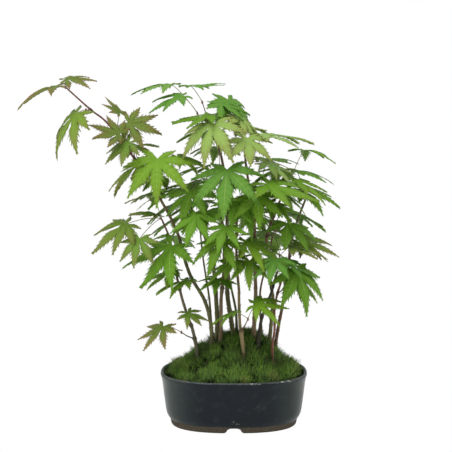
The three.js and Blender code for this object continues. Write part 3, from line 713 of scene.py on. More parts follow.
# a leaf: where its stalk meets it (mm from the pot's foot), its heading, tilt and roll in degrees,
# the length of its middle lobe, how far it droops, and its own tint if it differs from its spray's
maples = [
  {"low": "olive", "high": "red", "base": 1.6, "top": 0.6,
    "path": [(-22, -9, 84), (-24, -9, 107), (-30, -9, 128), (-43, -9, 151), (-50, -10, 171),
      (-55, -11, 192), (-64, -12, 213), (-73, -14, 230), (-86, -15, 254), (-99, -16, 272),
      (-113, -17, 292), (-128, -18, 310), (-142, -19, 321), (-164, -20, 341)],
    "sprays": [
      {"tint": "bronzed", "at": (-166, -20, 343), "leaves": [
        (-175, -20, 344, 181, 11, -4, 46, 28),
        (-166, -18, 351, 2, -12, 14, 31, 28),
      ]},
      {"tint": "young", "from": 321, "at": (-146, -24, 321), "leaves": [
        (-154, -30, 318, -162, 42, -10, 51, 50),
      ]},
      {"tint": "bronzed", "from": 300, "at": (-116, -13, 304), "leaves": [
        (-114, -8, 317, 150, -45, 0, 23, 10),
        (-105, -20, 308, -10, 18, 50, 36, 10),
        (-112, -34, 298, 170, -20, -35, 32, 10),
      ]},
      {"tint": "young", "from": 272, "at": (-100, -14, 282), "leaves": [
        (-103, -34, 290, -160, 35, -20, 34, 20),
        (-98, 6, 284, 110, 20, 0, 36, 20),
        (-96, 8, 264, 168, 26, -22, 45, 20),
      ]},
      {"tint": "fresh", "from": 243, "at": (-77, -21, 248), "leaves": [
        (-75, -40, 274, -90, 52, 4, 52, 30),
        (-72, 8, 252, 128, 12, 0, 38, 25),
        (-56, -14, 272, 0, 14, 10, 34, 20),
      ]},
    ]},
  {"low": "grey", "high": "red", "base": 1.4, "top": 0.7,
    "path": [(-36, -14, 67), (-41, -14, 95), (-46, -14, 110), (-52, -14, 129), (-56, -14, 146),
      (-62, -14, 172), (-64, -14, 190), (-72, -14, 210)],
    "sprays": [
      {"tint": "bronzed", "from": 89, "at": (-53, -20, 97), "leaves": [
        (-71, -30, 105, -138, 36, 0, 33, 8),
      ]},
      {"tint": "young", "from": 103, "at": (-45, -24, 112), "leaves": [
        (-46, -36, 120, -45, 25, 10, 24, 8),
      ]},
      {"tint": "young", "at": (-73, -14, 212), "leaves": [
        (-107, -20, 207, -162, 22, -16, 45, 30),
        (-93, -40, 195, -112, 50, 0, 32, 15),
        (-80, -2, 214, 152, -15, 0, 28, 15),
        (-84, 22, 232, 140, 10, 0, 34, 25),
      ]},
      {"tint": "green", "from": 172, "at": (-59, -20, 181), "leaves": [
        (-62, -33, 187, -147, 40, -14, 54, 20),
        (-62, 14, 190, 80, 20, 0, 32, 25),
        (-83, 2, 173, 185, 13, 5, 34, 25),
      ]},
      {"tint": "fresh", "from": 140, "at": (-50, -20, 147), "leaves": [
        (-46, -30, 152, -170, 15, 0, 36, 30),
        (-62, -22, 160, -150, 20, 0, 32, 25),
      ]},
    ]},
  {"low": "olive", "high": "olive", "base": 1.0, "top": 0.6,
    "path": [(-22, 8, 83), (-25, 11, 124), (-29, 14, 150), (-32, 17, 170), (-34, 20, 190)],
    "sprays": [
      {"tint": "green", "at": (-34, 21, 193), "leaves": [
        (-51, 32, 209, 158, 22, 0, 45, 25),
        (-38, 42, 204, 125, 25, 0, 36, 25),
        (-25, 61, 207, 107, 9, 6, 36, 25),
        (-36, 46, 222, 120, 15, 0, 40, 25),
        (-65, 55, 235, 162, 10, 3, 40, 25),
      ]},
    ]},
  {"low": "olive", "high": "brown", "base": 2.0, "top": 1.0,
    "path": [(-17, 1, 80), (-17, 1, 106), (-18, 1, 126), (-19, 1, 142), (-22, 1, 167), (-29, 2, 190),
      (-38, 3, 208), (-44, 4, 223)],
    "sprays": [
      {"tint": "green", "at": (-45, 4, 225), "leaves": [
        (-60, 8, 238, 178, 14, 0, 44, 25),
        (-68, 16, 258, 174, 2, 5, 38, 25),
        (-60, 34, 221, 150, 20, 0, 38, 25),
        (-40, 16, 243, 95, 15, 0, 42, 25),
        (-42, -24, 240, -110, 40, 0, 40, 20),
      ]},
    ]},
  {"low": "pink", "high": "brown", "base": 1.6, "top": 0.9,
    "path": [(-14, -10, 79), (-13, -10, 107), (-13, -10, 128), (-11, -9, 148), (-10, -9, 167),
      (-10, -9, 189), (-12, -8, 210), (-15, -8, 230), (-13, -8, 242)],
    "sprays": [
      {"tint": "fresh", "at": (-13, -9, 245), "leaves": [
        (-7, -48, 264, -98, 44, 6, 55, 25, "cool"),
        (-29, 12, 262, 172, 10, 0, 36, 25),
        (-31, 37, 246, 158, 12, 4, 36, 25),
        (-16, 38, 280, 95, 12, 0, 42, 25),
      ]},
      {"tint": "green", "from": 189, "at": (-12, -17, 187), "leaves": [
        (-11, -50, 194, -118, 30, -8, 42, 35),
      ]},
      {"tint": "green", "from": 212, "at": (-17, -15, 217), "leaves": [
        (-27, -26, 221, -148, 36, 0, 40, 20),
        (-10, 7, 216, 78, 5, 6, 32, 25),
        (-31, -22, 212, -178, 18, -12, 30, 25),
        (-37, -42, 219, -115, 36, -8, 36, 25),
      ]},
      {"tint": "green", "from": 140, "at": (-13, -16, 146), "leaves": [
        (-16, -28, 153, -95, 12, 0, 30, 25),
      ]},
    ]},
  {"low": "olive", "high": "brown", "base": 2.0, "top": 0.8,
    "path": [(0, 2, 79), (-2, 2, 100), (-6, 2, 126), (-7, 1, 142), (-8, 1, 167), (-7, 1, 196),
      (-7, 1, 213), (-8, 1, 237), (-11, 0, 264), (-16, 0, 284), (-22, 0, 301), (-24, 1, 308)],
    "sprays": [
      {"tint": "green", "at": (-27, 0, 311), "leaves": [
        (-22, -24, 316, -172, 4, -8, 42, 20),
        (-20, -38, 308, -116, 40, 0, 50, 45, "pale"),
        (-31, 28, 296, 130, 20, 0, 32, 25),
        (-10, 34, 312, 60, 14, 0, 40, 25),
      ]},
      {"tint": "cool", "from": 292, "at": (-14, 4, 316), "leaves": [
        (-6, 2, 330, -46, 45, -4, 43, 40),
        (-13, -10, 327, -42, 24, 0, 36, 20),
      ]},
      {"tint": "cool", "from": 284, "at": (-37, 10, 316), "leaves": [
        (-63, 10, 345, 178, 3, 0, 44, 20),
        (-52, -12, 334, -168, 10, -14, 36, 20),
      ]},
      {"tint": "cool", "from": 301, "at": (-32, 12, 327), "leaves": [
        (-44, 24, 343, 22, -8, 0, 40, 15),
      ]},
    ]},
  {"low": "olive", "high": "brown", "base": 1.1, "top": 0.6,
    "path": [(3, 14, 92), (2, 17, 113), (-3, 22, 137), (-5, 25, 153), (-2, 27, 174), (4, 30, 189)],
    "sprays": [
      {"tint": "green", "at": (4, 31, 192), "leaves": [
        (2, 44, 214, 98, 20, 0, 40, 25),
        (22, 60, 236, 70, 10, 0, 36, 25),
        (17, 42, 211, 58, 22, 0, 46, 25),
        (4, 50, 224, 88, 12, 0, 42, 25),
        (-12, 58, 244, 105, 8, 0, 40, 25),
      ]},
    ]},
  {"low": "tan", "high": "red", "base": 1.3, "top": 0.8, "stub": (24, 2.1),
    "path": [(10, -26, 75), (8, -25, 90), (7, -25, 100), (6, -24, 105), (5, -23, 131), (5, -23, 140),
      (4, -22, 151), (3, -21, 166), (2, -21, 196), (4, -20, 221)],
    "sprays": [
      {"tint": "green", "at": (4, -20, 224), "leaves": [
        (1, -40, 232, -102, 42, 0, 35, 20),
        (11, -30, 226, -75, 42, 0, 36, 20),
        (-8, -57, 209, -111, 32, -3, 34, 25),
      ]},
      {"tint": "fresh", "from": 174, "at": (7, -28, 179), "leaves": [
        (11, -32, 190, -18, 14, 10, 46, 22),
        (15, -40, 173, -92, 32, 0, 32, 20),
        (-2, -38, 172, -150, 28, 0, 34, 20),
      ]},
      {"tint": "fresh", "from": 99, "at": (14, -32, 113), "leaves": [
        (21, -50, 131, -5, 0, 20, 36, 30),
        (1, -38, 121, -175, 20, 0, 26, 20),
      ]},
    ]},
  {"low": "pink", "high": "red", "base": 1.8, "top": 0.7,
    "path": [(20, -6, 81), (21, -6, 112), (22, -5, 127), (22, -5, 141), (21, -5, 168), (21, -5, 189),
      (20, -5, 217), (16, -4, 239), (12, -4, 265), (10, -4, 285)],
    "sprays": [
      {"tint": "pale", "at": (10, -4, 288), "leaves": [
        (6, -16, 313, -33, 33, -5, 38, 45),
        (13, -40, 294, -82, 42, 0, 36, 20),
        (8, 16, 303, 55, 15, 0, 42, 25),
      ]},
      {"tint": "pale", "from": 258, "at": (18, -9, 268), "leaves": [
        (29, -10, 296, -5, 5, 0, 53, 15),
        (24, 6, 272, 8, 12, 0, 42, 20),
        (33, -16, 267, -30, 20, 0, 36, 20),
      ]},
      {"tint": "green", "from": 217, "at": (23, -12, 225), "leaves": [
        (22, -46, 240, -82, 42, 0, 40, 20),
        (44, -20, 238, -14, 20, -2, 36, 25),
        (24, 8, 242, 70, 12, 0, 40, 25),
        (35, 43, 267, 53, -2, 1, 39, 25),
      ]},
    ]},
  {"low": "dark", "high": "dark", "base": 1.5, "top": 0.9,
    "path": [(24, -18, 83), (26, -20, 99), (28, -23, 112), (34, -25, 129), (38, -28, 141),
      (42, -30, 157)],
    "sprays": [
      {"tint": "cool", "at": (43, -31, 160), "leaves": [
        (62, -36, 162, -60, 40, 4, 45, 50, "green"),
        (40, -52, 176, -104, 30, 0, 32, 20),
        (54, -28, 170, -20, 22, 0, 34, 20),
      ]},
    ]},
  {"low": "brown", "high": "brown", "base": 1.0, "top": 0.6,
    "path": [(29, 9, 84), (27, 15, 123), (29, 18, 142), (35, 22, 162), (39, 25, 184)],
    "sprays": [
      {"tint": "green", "at": (40, 26, 187), "leaves": [
        (52, 38, 200, 25, 20, 0, 47, 25),
        (34, 44, 192, 95, 25, 0, 42, 25),
        (50, 50, 214, 48, 14, 0, 42, 25),
        (62, 34, 210, 12, 14, 0, 40, 25),
      ]},
    ]},
  {"low": "olive", "high": "red", "base": 1.6, "top": 0.8,
    "path": [(36, -2, 79), (38, -2, 101), (39, -2, 116), (40, -1, 127), (37, -1, 147), (37, -1, 163),
      (33, -1, 190), (41, 0, 214), (47, 0, 229), (54, 0, 241)],
    "sprays": [
      {"tint": "fresh", "at": (55, 0, 243), "leaves": [
        (46, 18, 258, 100, 12, 0, 40, 25),
        (72, 29, 277, 41, 6, 0, 38, 25),
        (62, -14, 250, -30, 18, 0, 40, 25),
      ]},
      {"tint": "fresh", "from": 212, "at": (38, -12, 226), "leaves": [
        (32, -44, 250, -22, 12, 12, 58, 15),
        (37, -28, 229, -48, 22, 0, 34, 20),
      ]},
      {"tint": "green", "from": 192, "at": (42, -9, 199), "leaves": [
        (53, -22, 208, -48, 28, 0, 43, 25),
        (27, 16, 232, 125, 15, 0, 42, 25),
      ]},
    ]},
  {"low": "red", "high": "red", "base": 1.1, "top": 0.7,
    "path": [(39, -23, 66), (39, -20, 84), (41, -19, 99), (41, -17, 119), (44, -15, 136),
      (50, -14, 154), (56, -12, 171)],
    "sprays": [
      {"tint": "young", "at": (57, -12, 174), "leaves": [
        (57, -32, 185, -6, 4, 0, 38, 20),
        (68, -8, 187, -12, 8, 20, 40, 22),
      ]},
      {"tint": "fresh", "from": 136, "at": (51, -18, 142), "leaves": [
        (60, -20, 152, -28, 22, 0, 34, 25),
      ]},
    ]},
  {"low": "brown", "high": "grey", "base": 1.4, "top": 0.8,
    "path": [(42, 3, 73), (46, 5, 99), (50, 6, 120), (52, 8, 135), (56, 9, 160), (58, 10, 183),
      (65, 11, 207), (73, 12, 228)],
    "sprays": [
      {"tint": "green", "at": (74, 12, 230), "leaves": [
        (67, 0, 240, -8, 16, 14, 45, 22),
        (64, 22, 257, 6, 6, 0, 43, 20),
      ]},
      {"tint": "green", "from": 137, "at": (47, 12, 170), "leaves": [
        (64, 22, 182, 15, 18, 0, 42, 25),
        (44, 32, 184, 90, 22, 0, 42, 25),
        (30, 46, 168, 105, 12, 0, 36, 25),
      ]},
    ]},
]


def stemPoint(path, height):
    upper = next(i for i, point in enumerate(path) if point.z >= height)
    low, high = path[upper - 1], path[upper]
    return low.lerp(high, (height - low.z) / (high.z - low.z))


def hump(place, middle, width):
    return math.exp(-((place - middle) / width) ** 2)


def stubStrand(path, height, radius, colour, form):
    # the leader that was cut off, with a lip at its cut
    foot, lean = path[0], (path[2] - path[0]).normalized()
    line = smoothPath([foot - lean * form["rooting"], foot, foot + lean * height], form["step"])
    cut = foot.z + height - 3
    return [(place, radius * (1.12 if place.z > cut else 1.0), colour) for place in line]


def twigStrand(start, tip, colour, form):
    # a twig sags a little between the stem and its spray
    middle = start.lerp(tip, 0.55) - Vector((0, 0, 0.06 * (tip - start).length))
    line = smoothPath([start, middle, tip], form["step"])
    thick, thin = form["twig"]
    return [(place, thick + (thin - thick) * i / (len(line) - 1), colour) for i, place in enumerate(line)]


def budStrand(start, radius, colour, chance):
    turn = chance.uniform(0, 2 * math.pi)
    out = Vector((math.cos(turn), math.sin(turn), chance.uniform(0.5, 1.2))).normalized()
    length = radius + chance.uniform(0.8, 3.2)
    shade = blend(colour, stalkTints["dark"], chance.uniform(0.2, 0.9))
    parts = ((0, 0.5), (0.6, 0.42), (1, 0.16))     # how far along it, and its radius there, mm
    return [(start + out * length * share, size, shade) for share, size in parts]


def stemStrands(maple, chance, form):
    # the stem, its stub, its twigs and its buds, as strands for the tube tree
    path = [Vector(point) for point in maple["path"]]
    low, high = stalkTints[maple["low"]], stalkTints[maple["high"]]
    twigs = [spray for spray in maple["sprays"] if "from" in spray]
    end = next(Vector(spray["at"]) for spray in maple["sprays"] if "from" not in spray)
    foot, top = path[0].z, end.z
    joints = [spray["from"] for spray in twigs]
    rings = []
    height = foot + chance.uniform(*form["nodeSpacing"])
    while height < top - 6:
        rings.append(height)
        height += chance.uniform(*form["nodeSpacing"])

    def tintAt(z):
        colour = blend(low, high, smoothStep((z - foot) / (top - foot) * 1.6 - 0.45))
        knob = max((0.6 * hump(z, joint, 2.6) for joint in joints), default=0)
        # painted shade: the stem darkens towards where it goes into the moss
        footShade = 0.55 * (1 - smoothStep((z - foot) / 14))
        return blend(colour, stalkTints["dark"], max(knob, footShade))

    def radiusAt(z):
        share = min(1, max(0, (z - foot) / (top - foot)))
        radius = (maple["base"] * (1 - share) + maple["top"] * share) * form["fullness"]
        flare = 1 + (form["flare"] - 1) * math.exp(-max(0, z - foot) / 4)
        knobs = sum(0.42 * hump(z, joint, 1.7) for joint in joints)
        return radius * flare * (1 + knobs + sum(0.17 * hump(z, ring, 0.8) for ring in joints + rings))

    root = path[0] - (path[1] - path[0]).normalized() * form["rooting"]
    line = smoothPath([root, *path, end], form["step"])
    strands = [[(place, radiusAt(place.z), tintAt(place.z)) for place in line]]
    if "stub" in maple:
        strands.append(stubStrand(path, *maple["stub"], low, form))
    for spray in twigs:
        colour = blend(tintAt(spray["from"]), high, 0.5)
        strands.append(twigStrand(stemPoint(path, spray["from"]), Vector(spray["at"]), colour, form))
    for ring in rings:
        if chance.random() >= form["bare"]:
            strands.append(budStrand(stemPoint(path, ring), radiusAt(ring), tintAt(ring), chance))
    return strands


def leafAxes(heading, tilt, roll):
    h, t, r = heading * degree, tilt * degree, roll * degree
    along = Vector((math.cos(t) * math.cos(h), math.cos(t) * math.sin(h), -math.sin(t)))
    level = Vector((-math.sin(h), math.cos(h), 0))
    left = level * math.cos(r) + along.cross(level) * math.sin(r)
    return along, left, along.cross(left)


def leafMesh(name, leaves, seed, tint, form):
    # every blade of a spray, solid, with its own shade of the spray's tint
    points, faces, facts = [], [], []
    chance = random.Random(seed)
    for number, (x, y, z, heading, tilt, roll, size, droop, *own) in enumerate(leaves):
        base, bronze = leafTints[own[0] if own else tint]
        along, left, up = leafAxes(heading, tilt, roll)
        junction = Vector((x, y, z))
        blade, bladeFacts, bladeFaces = leafBlade(form, seed * 10 + number, size, droop)
        start = len(points)
        points += [fromPot(*(junction + along * p.x + left * p.y + up * p.z)) for p in blade]
        faces += [tuple(start + i for i in face) for face in bladeFaces]
        light = chance.uniform(0.9, 1.1)
        warm = chance.uniform(-0.06, 0.06)
        colour = (base[0] * light * (1 + warm), base[1] * light, base[2] * light * (1 - warm))
        tips = min(1, max(0, bronze * chance.uniform(0.75, 1.25)))
        facts += [(*fact, tips, colour) for fact in bladeFacts]
    mesh = makeMesh(name, points, faces)
    for key, values in zip((*leafFacts, "tint"), zip(*facts)):
        pointValues(mesh, key, values)
    facesOutward(mesh)
    piece = makeObject(name, mesh)
    solid = piece.modifiers.new("solid", "SOLIDIFY")
    solid.thickness = form["thickness"] * mm
    solid.offset = 0
    solid.material_offset = 1
    mesh.materials.append(leafUpper)
    mesh.materials.append(leafUnder)
    return settle(piece)


def leafMaterial(name, under, values):
    material, tree, shader, place, output = startMaterial(
        name, Roughness=0.62 if under else 0.5, Specular_IOR_Level=0.10)
    tint = attributeNode(tree, "tint", "Color")
    along, across, reach, bronze = [attributeNode(tree, key) for key in leafFacts]
    # veins run from the midrib to the teeth
    ribs = maskNode(mathNode("ABSOLUTE", minus(mathNode("FRACT", along), 0.6)), 0.11, 0.02)
    ribs = times(times(ribs, maskNode(along, 0.05, 0.4)), maskNode(across, 0.98, 0.55))
    veins = mathNode("MAXIMUM", times(ribs, 0.45), maskNode(across, 0.10, 0.03))
    mottle = noiseNode(place, 160, 4, 0.6)
    fine = noiseNode(place, 1400, 2, 0.5)
    colour = mixColour(times(mottle, 0.4), tint, values["mottle"], "MULTIPLY")
    edge = plus(plus(times(reach, 0.75), times(across, 0.28)), times(minus(mottle, 0.5), 0.5))
    blush = mathNode("MULTIPLY", maskNode(edge, 0.30, 0.95), bronze, clamp=True)
    colour = mixColour(blush, colour, values["blush"])
    if under:
        colour = mixColour(0.35, colour, values["underside"])
    colour = mixColour(times(veins, 0.34), colour, values["veins"])
    finish(shader, colour, minus(times(fine, 0.25), veins), 0.00016, 0.8)
    through = fromNode(tree, "ShaderNodeBsdfTranslucent", {
        "Color": mixColour(1.0, colour, values["through"], "MULTIPLY")})
    feed(output.inputs["Surface"], fromNode(tree, "ShaderNodeMixShader", {
        0: values["translucence"], 1: shader.outputs[0], 2: through}))
    return material


def barkMaterial():
    material, tree, shader, place, _ = startMaterial("mapleBark", Roughness=0.62, Specular_IOR_Level=0.12)
    streak = noiseNode(place, 420, 4, 0.6, (1, 1, 0.16))
    blotch = noiseNode(place, 95, 3, 0.6)
    tint = attributeNode(tree, "tint", "Color")
    colour = mixColour(maskNode(streak, 0.35, 0.7), tint, (0.44, 0.42, 0.36), "MULTIPLY")
    colour = mixColour(times(maskNode(blotch, 0.52, 0.72), 0.4), colour, (0.100, 0.098, 0.058))
    finish(shader, colour, streak, 0.00035)
    return material


def petioleMaterial():
    material, tree, shader, place, _ = startMaterial("petiole", Roughness=0.42)
    tint = attributeNode(tree, "tint", "Color")
    colour = mixColour(noiseNode(place, 300, 3), tint, (0.8, 0.75, 0.7), "MULTIPLY")
    feed(shader.inputs["Base Color"], colour)
    return material


leafUpper = leafMaterial("leafUpper", False, leafFinish)
leafUnder = leafMaterial("leafUnder", True, leafFinish)
bark = barkMaterial()
stalk = petioleMaterial()
tubes = strandTree()


def petioleStrands(spray, chance, form):
    start = Vector(spray["at"])
    young = leafTints[spray["tint"]][1]
    strands = []
    for leaf in spray["leaves"]:
        end = Vector(leaf[:3])
        middle = start.lerp(end, 0.5) + Vector((0, 0, form["arch"] * (end - start).length))
        red = min(1, max(0, young * 0.8 + chance.uniform(-0.05, 0.45)))
        colour = blend(stalkTints["green"], stalkTints["red"], red)
        strand = []
        for i in range(form["steps"] + 1):
            t = i / form["steps"]
            place = start.lerp(middle, t).lerp(middle.lerp(end, t), t)
            radius = form["radius"] * (1.45 if i == 0 else 1.15 if i == 1 else 1.0)
            strand.append((place, radius, colour))
        strands.append(strand)
    strands.append([(start + Vector((0, 0, z)), radius, stalkTints["red"]) for z, radius in form["collar"]])
    return strands


def tubesAlong(name, strands, **values):
    return useTree(makeObject(name, strandMesh(name, strands)), tubes, Grain=stemForm["grain"], **values)


def joinInto(piece, other):
    both = [piece, other]
    with bpy.context.temp_override(active_object=piece, object=piece, selected_objects=both,
                                   selected_editable_objects=both):
        bpy.ops.object.join()


def makeMaples():
    sprayNumber = 0
    for number, maple in enumerate(maples, 1):
        chance = random.Random(40 + number)
        stem = tubesAlong(f"stem{number:02d}", stemStrands(maple, chance, stemForm),
                          Sides=stemForm["sides"], Roughness=stemForm["roughness"], Material=bark)
        standIn(stem, f"maple_stem_{number:02d}")
        for spray in maple["sprays"]:
            sprayNumber += 1
            name = f"leaves{sprayNumber:02d}"
            stalks = tubesAlong(name + "Stalks", petioleStrands(spray, chance, petioleForm),
                                Sides=8, Roughness=0.1, Material=stalk)
            blades = leafMesh(name, spray["leaves"], sprayNumber, spray["tint"], leafForm)
            joinInto(blades, stalks)
            standIn(blades, f"leaf_spray_{sprayNumber:02d}")


makeMaples()
print("stems and leaves ready")


# the mound: soil and moss

mound = {
    "halfLength": 70, "centre": (8, 4), "rim": 48.5, "rise": 39, "knee": 0.62, "steepness": 5,
    "lumps": 2.6,                  # how far the moss swells and sinks, mm
    "depth": 3.8,                  # of the carpet under its shoots, below the mound's surface
    "rings": 26, "steps": 30,
}
moss = {
    "shoots": 1.5,                 # tufts on a square millimetre, at most
    "needles": 5,
    "length": (4.6, 15.0),
    "radius": 0.29,
    "lean": 32,                    # degrees from the tuft's own direction
    # the darkest colour at the shoots' feet, partly their own darker base and partly painted shade deep in
    # the cushion
    "root": (0.006, 0.011, 0.003),
    "stem": (0.022, 0.052, 0.006),
    "tip": (0.118, 0.235, 0.020),
    "old": (0.150, 0.155, 0.035),
    "ground": ((0.010, 0.014, 0.005), (0.040, 0.050, 0.016)),
}
soil = {
    "wall": [                      # half length and height, mm, up the inside of the pot
        (0.0, 9.4), (30.0, 9.4), (56.4, 9.4), (59.5, 10.4), (62.2, 11.9), (65.3, 17.0), (66.8, 22),
        (68.2, 31), (69.0, 40.0), (69.6, 44.5)],
    "top": (0.985, 0.93, 0.84, 0.7, 0.5, 0.3, 0.1),
    "below": 6.2,                  # how far under the mound's surface it stays, mm
    "colours": ((0.022, 0.014, 0.009), (0.110, 0.075, 0.048)),
}


def moundPoint(share, angle, lower):
    height = mound["rim"] + mound["rise"] / (1 + (share / mound["knee"]) ** mound["steepness"]) - lower
    edge = ovalPoint(mound["halfLength"] - lower / 8, angle, 0)
    place = Vector((*mound["centre"], 0)).lerp(edge, share)
    return Vector((place.x, place.y, height))


def carpetLump(place):
    broad = noise.noise(place * 0.055)
    small = noise.noise(place * 0.19 + Vector((7, 3, 1)))
    return mound["lumps"] * (0.9 * broad + 0.55 * small)


def mossGrowthAndShade(place, share):
    # sparse round the foot of each stem and darker there as painted shade, short at the rim
    nearest = min((Vector(maple["path"][0][:2]) - place.to_2d()).length for maple in maples)
    return (1 - 0.7 * hump(nearest, 0, 5.5)) * (1 - 0.55 * smoothStep((share - 0.86) / 0.12))


def carpetMesh(name, fromAngle):
    # a quarter of the moss carpet, a closed slab that follows the mound
    rings, steps = mound["rings"], mound["steps"]
    points, top = [], []
    for lower in (mound["depth"], mound["depth"] + 2.2):
        for ring in range(rings + 1):
            share = 0.985 * (ring / rings) ** 0.85
            for step in range(steps + 1):
                angle = fromAngle + math.pi / 2 * step / steps
                place = moundPoint(max(share, 0.004), angle, lower)
                edge = min(1, (0.985 - share) / 0.06)
                if lower == mound["depth"]:
                    place.z += carpetLump(place) * (0.35 + 0.65 * edge)
                points.append(fromPot(*place))
                top.append(mossGrowthAndShade(place, share) if lower == mound["depth"] else 0.0)
    size = (rings + 1) * (steps + 1)
    faces = []
    for ring in range(rings):
        for step in range(steps):
            a = ring * (steps + 1) + step
            quad = (a, a + steps + 1, a + steps + 2, a + 1)
            faces += [quad, tuple(i + size for i in reversed(quad))]
    border = [ring * (steps + 1) for ring in range(rings)]
    border += [rings * (steps + 1) + step for step in range(steps)]
    border += [ring * (steps + 1) + steps for ring in range(rings, 0, -1)]
    border += list(range(steps, 0, -1))
    for a, b in zip(border, border[1:] + border[:1]):
        faces.append((b, a, a + size, b + size))
    mesh = makeMesh(name, points, faces)
    pointValues(mesh, "grows", top)
    return mesh


def tuftMesh(values):
    # a few fine needles that spread from one foot, each a closed three-sided cone
    chance = random.Random(5)
    points, faces, tips = [], [], []
    for needle in range(values["needles"]):
        turn = 2 * math.pi * (needle + chance.uniform(-0.3, 0.3)) / values["needles"]
        lean = values["lean"] * degree * (0.15 if needle == 0 else chance.uniform(0.35, 1.0))
        out = Vector((math.cos(turn) * math.sin(lean), math.sin(turn) * math.sin(lean), math.cos(lean)))
        foot = Vector((math.cos(turn), math.sin(turn), 0)) * chance.uniform(0.0, 0.09)
        length = chance.uniform(0.6, 1.0)
        wide = out.orthogonal().normalized() * (values["radius"] / 6)
        start = len(points)
        points += [foot + Matrix.Rotation(2.094 * i, 3, out) @ wide for i in range(3)]
        points.append(foot + out * length)
        tips += [0.0] * 3 + [1.0]
        faces.append((start + 2, start + 1, start))
        faces += [(start + i, start + (i + 1) % 3, start + 3) for i in range(3)]
    mesh = makeMesh("tuft", points, faces)
    pointValues(mesh, "tip", tips)
    facesOutward(mesh)
    return mesh


def randomValue(tree, kind, low, high, seed):
    first = 2 if kind == "FLOAT" else 0
    return addNode(tree, "FunctionNodeRandomValue", {first: low, first + 1: high, "Seed": seed},
                   data_type=kind).outputs[1 if kind == "FLOAT" else 0]


def tuftTree():
    # tufts of moss on the faces that grow, thin where the noise is low
    tree, given, leave = startTree("tufts", [
        ("Tuft", "Object", None), ("Density", "Float", 1e6), ("Shortest", "Float", 0.004),
        ("Longest", "Float", 0.008), ("Patch Size", "Float", 60.0), ("Gaps", "Float", 0.4),
        ("Seed", "Int", 1), ("Ground", "Material", None), ("Shoots", "Material", None)])
    grows = storedValue(tree, "grows")
    patches = fromNode(tree, "ShaderNodeTexNoise", {
        "Vector": fromNode(tree, "GeometryNodeInputPosition"), "Scale": given["Patch Size"], "Detail": 2.5})
    thick = fromNode(tree, "ShaderNodeMapRange", {
        "Value": patches, "From Min": given["Gaps"], "From Max": plus(given["Gaps"], 0.1), "To Min": 0.06},
        interpolation_type="SMOOTHSTEP")
    spots = addNode(tree, "GeometryNodeDistributePointsOnFaces", {
        "Mesh": given["Geometry"], "Density": times(times(thick, grows), given["Density"]),
        "Seed": given["Seed"]}, distribute_method="RANDOM").outputs
    upward = vectorMath("ADD", spots["Normal"], (0, 0, 1.1))
    shaken = vectorMath("ADD", upward, randomValue(tree, "FLOAT_VECTOR", (-0.55,) * 3, (0.55,) * 3, 3))
    turned = fromNode(tree, "FunctionNodeAlignRotationToVector", {"Vector": shaken}, axis="Z")
    spin = fromNode(tree, "FunctionNodeAxisAngleToRotation", {
        "Axis": (0, 0, 1), "Angle": randomValue(tree, "FLOAT", 0.0, 6.283, 8)})
    whole = fromNode(tree, "FunctionNodeRotateRotation", {0: turned, 1: spin}, rotation_space="LOCAL")
    span = minus(given["Longest"], given["Shortest"])
    length = times(span, mathNode("POWER", randomValue(tree, "FLOAT", 0.0, 1.0, 12), 1.9))
    length = times(plus(length, given["Shortest"]), plus(times(patches, 1.1), 0.42))
    length = times(length, plus(times(grows, 0.65), 0.35))
    tuft = addNode(tree, "GeometryNodeObjectInfo", {0: given["Tuft"]}).outputs["Geometry"]
    placed = fromNode(tree, "GeometryNodeInstanceOnPoints", {
        "Points": spots["Points"], "Instance": tuft, "Rotation": whole, "Scale": length})
    # each tuft's tone varies at random, and it is darker where the moss is sparse: painted shade round the
    # stems' feet
    shade = times(randomValue(tree, "FLOAT", 0.0, 1.0, 21), grows)
    shaded = fromNode(tree, "GeometryNodeStoreNamedAttribute", {
        "Geometry": placed, "Name": "shade", "Value": shade}, data_type="FLOAT", domain="INSTANCE")
    shoots = fromNode(tree, "GeometryNodeRealizeInstances", {0: shaded})
    both = addNode(tree, "GeometryNodeJoinGeometry")
    feed(both.inputs[0], withMaterial(tree, shoots, given["Shoots"]))
    feed(both.inputs[0], withMaterial(tree, given["Geometry"], given["Ground"]))
    feed(leave.inputs[0], both.outputs[0])
    return tree


def mossMaterial(values):
    material, tree, shader, place, _ = startMaterial("mossShoots", Roughness=0.6, Specular_IOR_Level=0.25)
    tip, shade = attributeNode(tree, "tip"), attributeNode(tree, "shade")
    # darker towards each shoot's foot: its own darker base, and painted shade deep in the cushion
    colour = rampNode(tip, [(0.0, values["root"]), (0.42, values["stem"]), (1.0, values["tip"])])
    patch = maskNode(noiseNode(place, 55, 3), 0.54, 0.70)
    colour = mixColour(times(patch, tip), colour, values["old"])
    # the stored shade: random tone per tuft, with painted shade round the stems' feet
    darker = mixColour(shade, (0.10, 0.15, 0.12), (1.4, 1.35, 1.1))
    feed(shader.inputs["Base Color"], mixColour(1.0, colour, darker, "MULTIPLY"))
    return material


def earthMaterial(name, dark, light):
    material, _, shader, place, _ = startMaterial(name, Roughness=0.92)
    grains = noiseNode(place, 480, 5, 0.65)
    colour = rampNode(grains, [(0.3, dark), (0.72, light)])
    colour = mixColour(times(noiseNode(place, 70, 3), 0.6), colour, (0.5, 0.6, 0.4), "MULTIPLY")
    finish(shader, colour, grains, 0.0012)
    return material


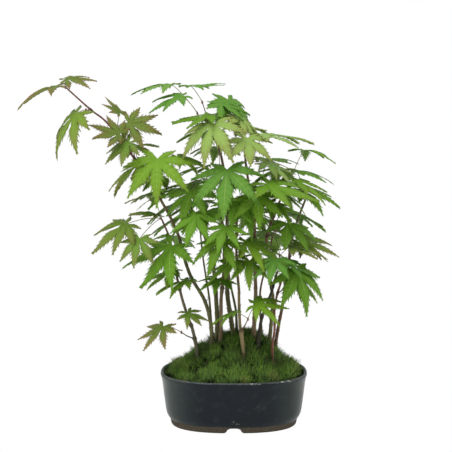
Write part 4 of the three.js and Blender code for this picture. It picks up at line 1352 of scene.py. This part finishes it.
def makeMoss(values):
    tufts = tuftTree()
    ground = earthMaterial("mossGround", *values["ground"])
    shoots = mossMaterial(values)
    tuft = makeObject("tuft", tuftMesh(values))
    shortest, longest = values["length"]
    for quarter, side in enumerate(("back_right", "back_left", "front_left", "front_right")):
        name = "moss_" + side
        piece = makeObject("carpet_" + side, carpetMesh(name, quarter * math.pi / 2))
        facesOutward(piece.data)
        useTree(piece, tufts, Tuft=tuft, Density=values["shoots"] * 1e6, Shortest=shortest * mm,
                Longest=longest * mm, Gaps=0.40, Seed=11 + quarter, Ground=ground, Shoots=shoots)
        standIn(piece, name)
    bpy.data.objects.remove(tuft)


def makeSoil(values):
    angles = evenAngles(96)
    rings = [[ovalPoint(max(halfLength, 15.0), angle, z) for angle in angles]
             for halfLength, z in values["wall"]]
    for share in values["top"]:
        ring = [moundPoint(share, angle, values["below"]) for angle in angles]
        rings.append([place + Vector((0, 0, 0.8 * noise.noise(place * 0.3))) for place in ring])
    points = [fromPot(*place) for ring in rings for place in ring]
    piece = makeObject("soilBody", makeMesh("soilBody", points, ringFaces(len(rings), len(angles))))
    facesOutward(piece.data, merge=1e-5)
    piece.data.materials.append(earthMaterial("pottingSoil", *values["colours"]))
    standIn(piece, "soil")


def drainMaterial(name, scale, stops, depth, **sockets):
    material, _, shader, place, _ = startMaterial(name, **sockets)
    wear = noiseNode(place, scale, 4)
    finish(shader, rampNode(wear, stops), wear, depth)
    return material


def finishDrains():
    # the screens and their wire clips keep their shape from the frame
    plastic = drainMaterial("drainPlastic", 520, [
        (0.35, (0.008, 0.008, 0.008)), (0.75, (0.034, 0.032, 0.028))], 0.0002, Roughness=0.65)
    wire = drainMaterial("clipWire", 700, [
        (0.3, (0.115, 0.070, 0.045)), (0.7, (0.220, 0.140, 0.090))], 0.0001, Roughness=0.42, Metallic=0.85)
    for side in ("left", "right"):
        for node, material in (("drainage_screen_", plastic), ("screen_clip_", wire)):
            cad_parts[node + side].material_slots[0].material = material


makeSoil(soil)
makeMoss(moss)
finishDrains()
print("soil, moss and drains ready")
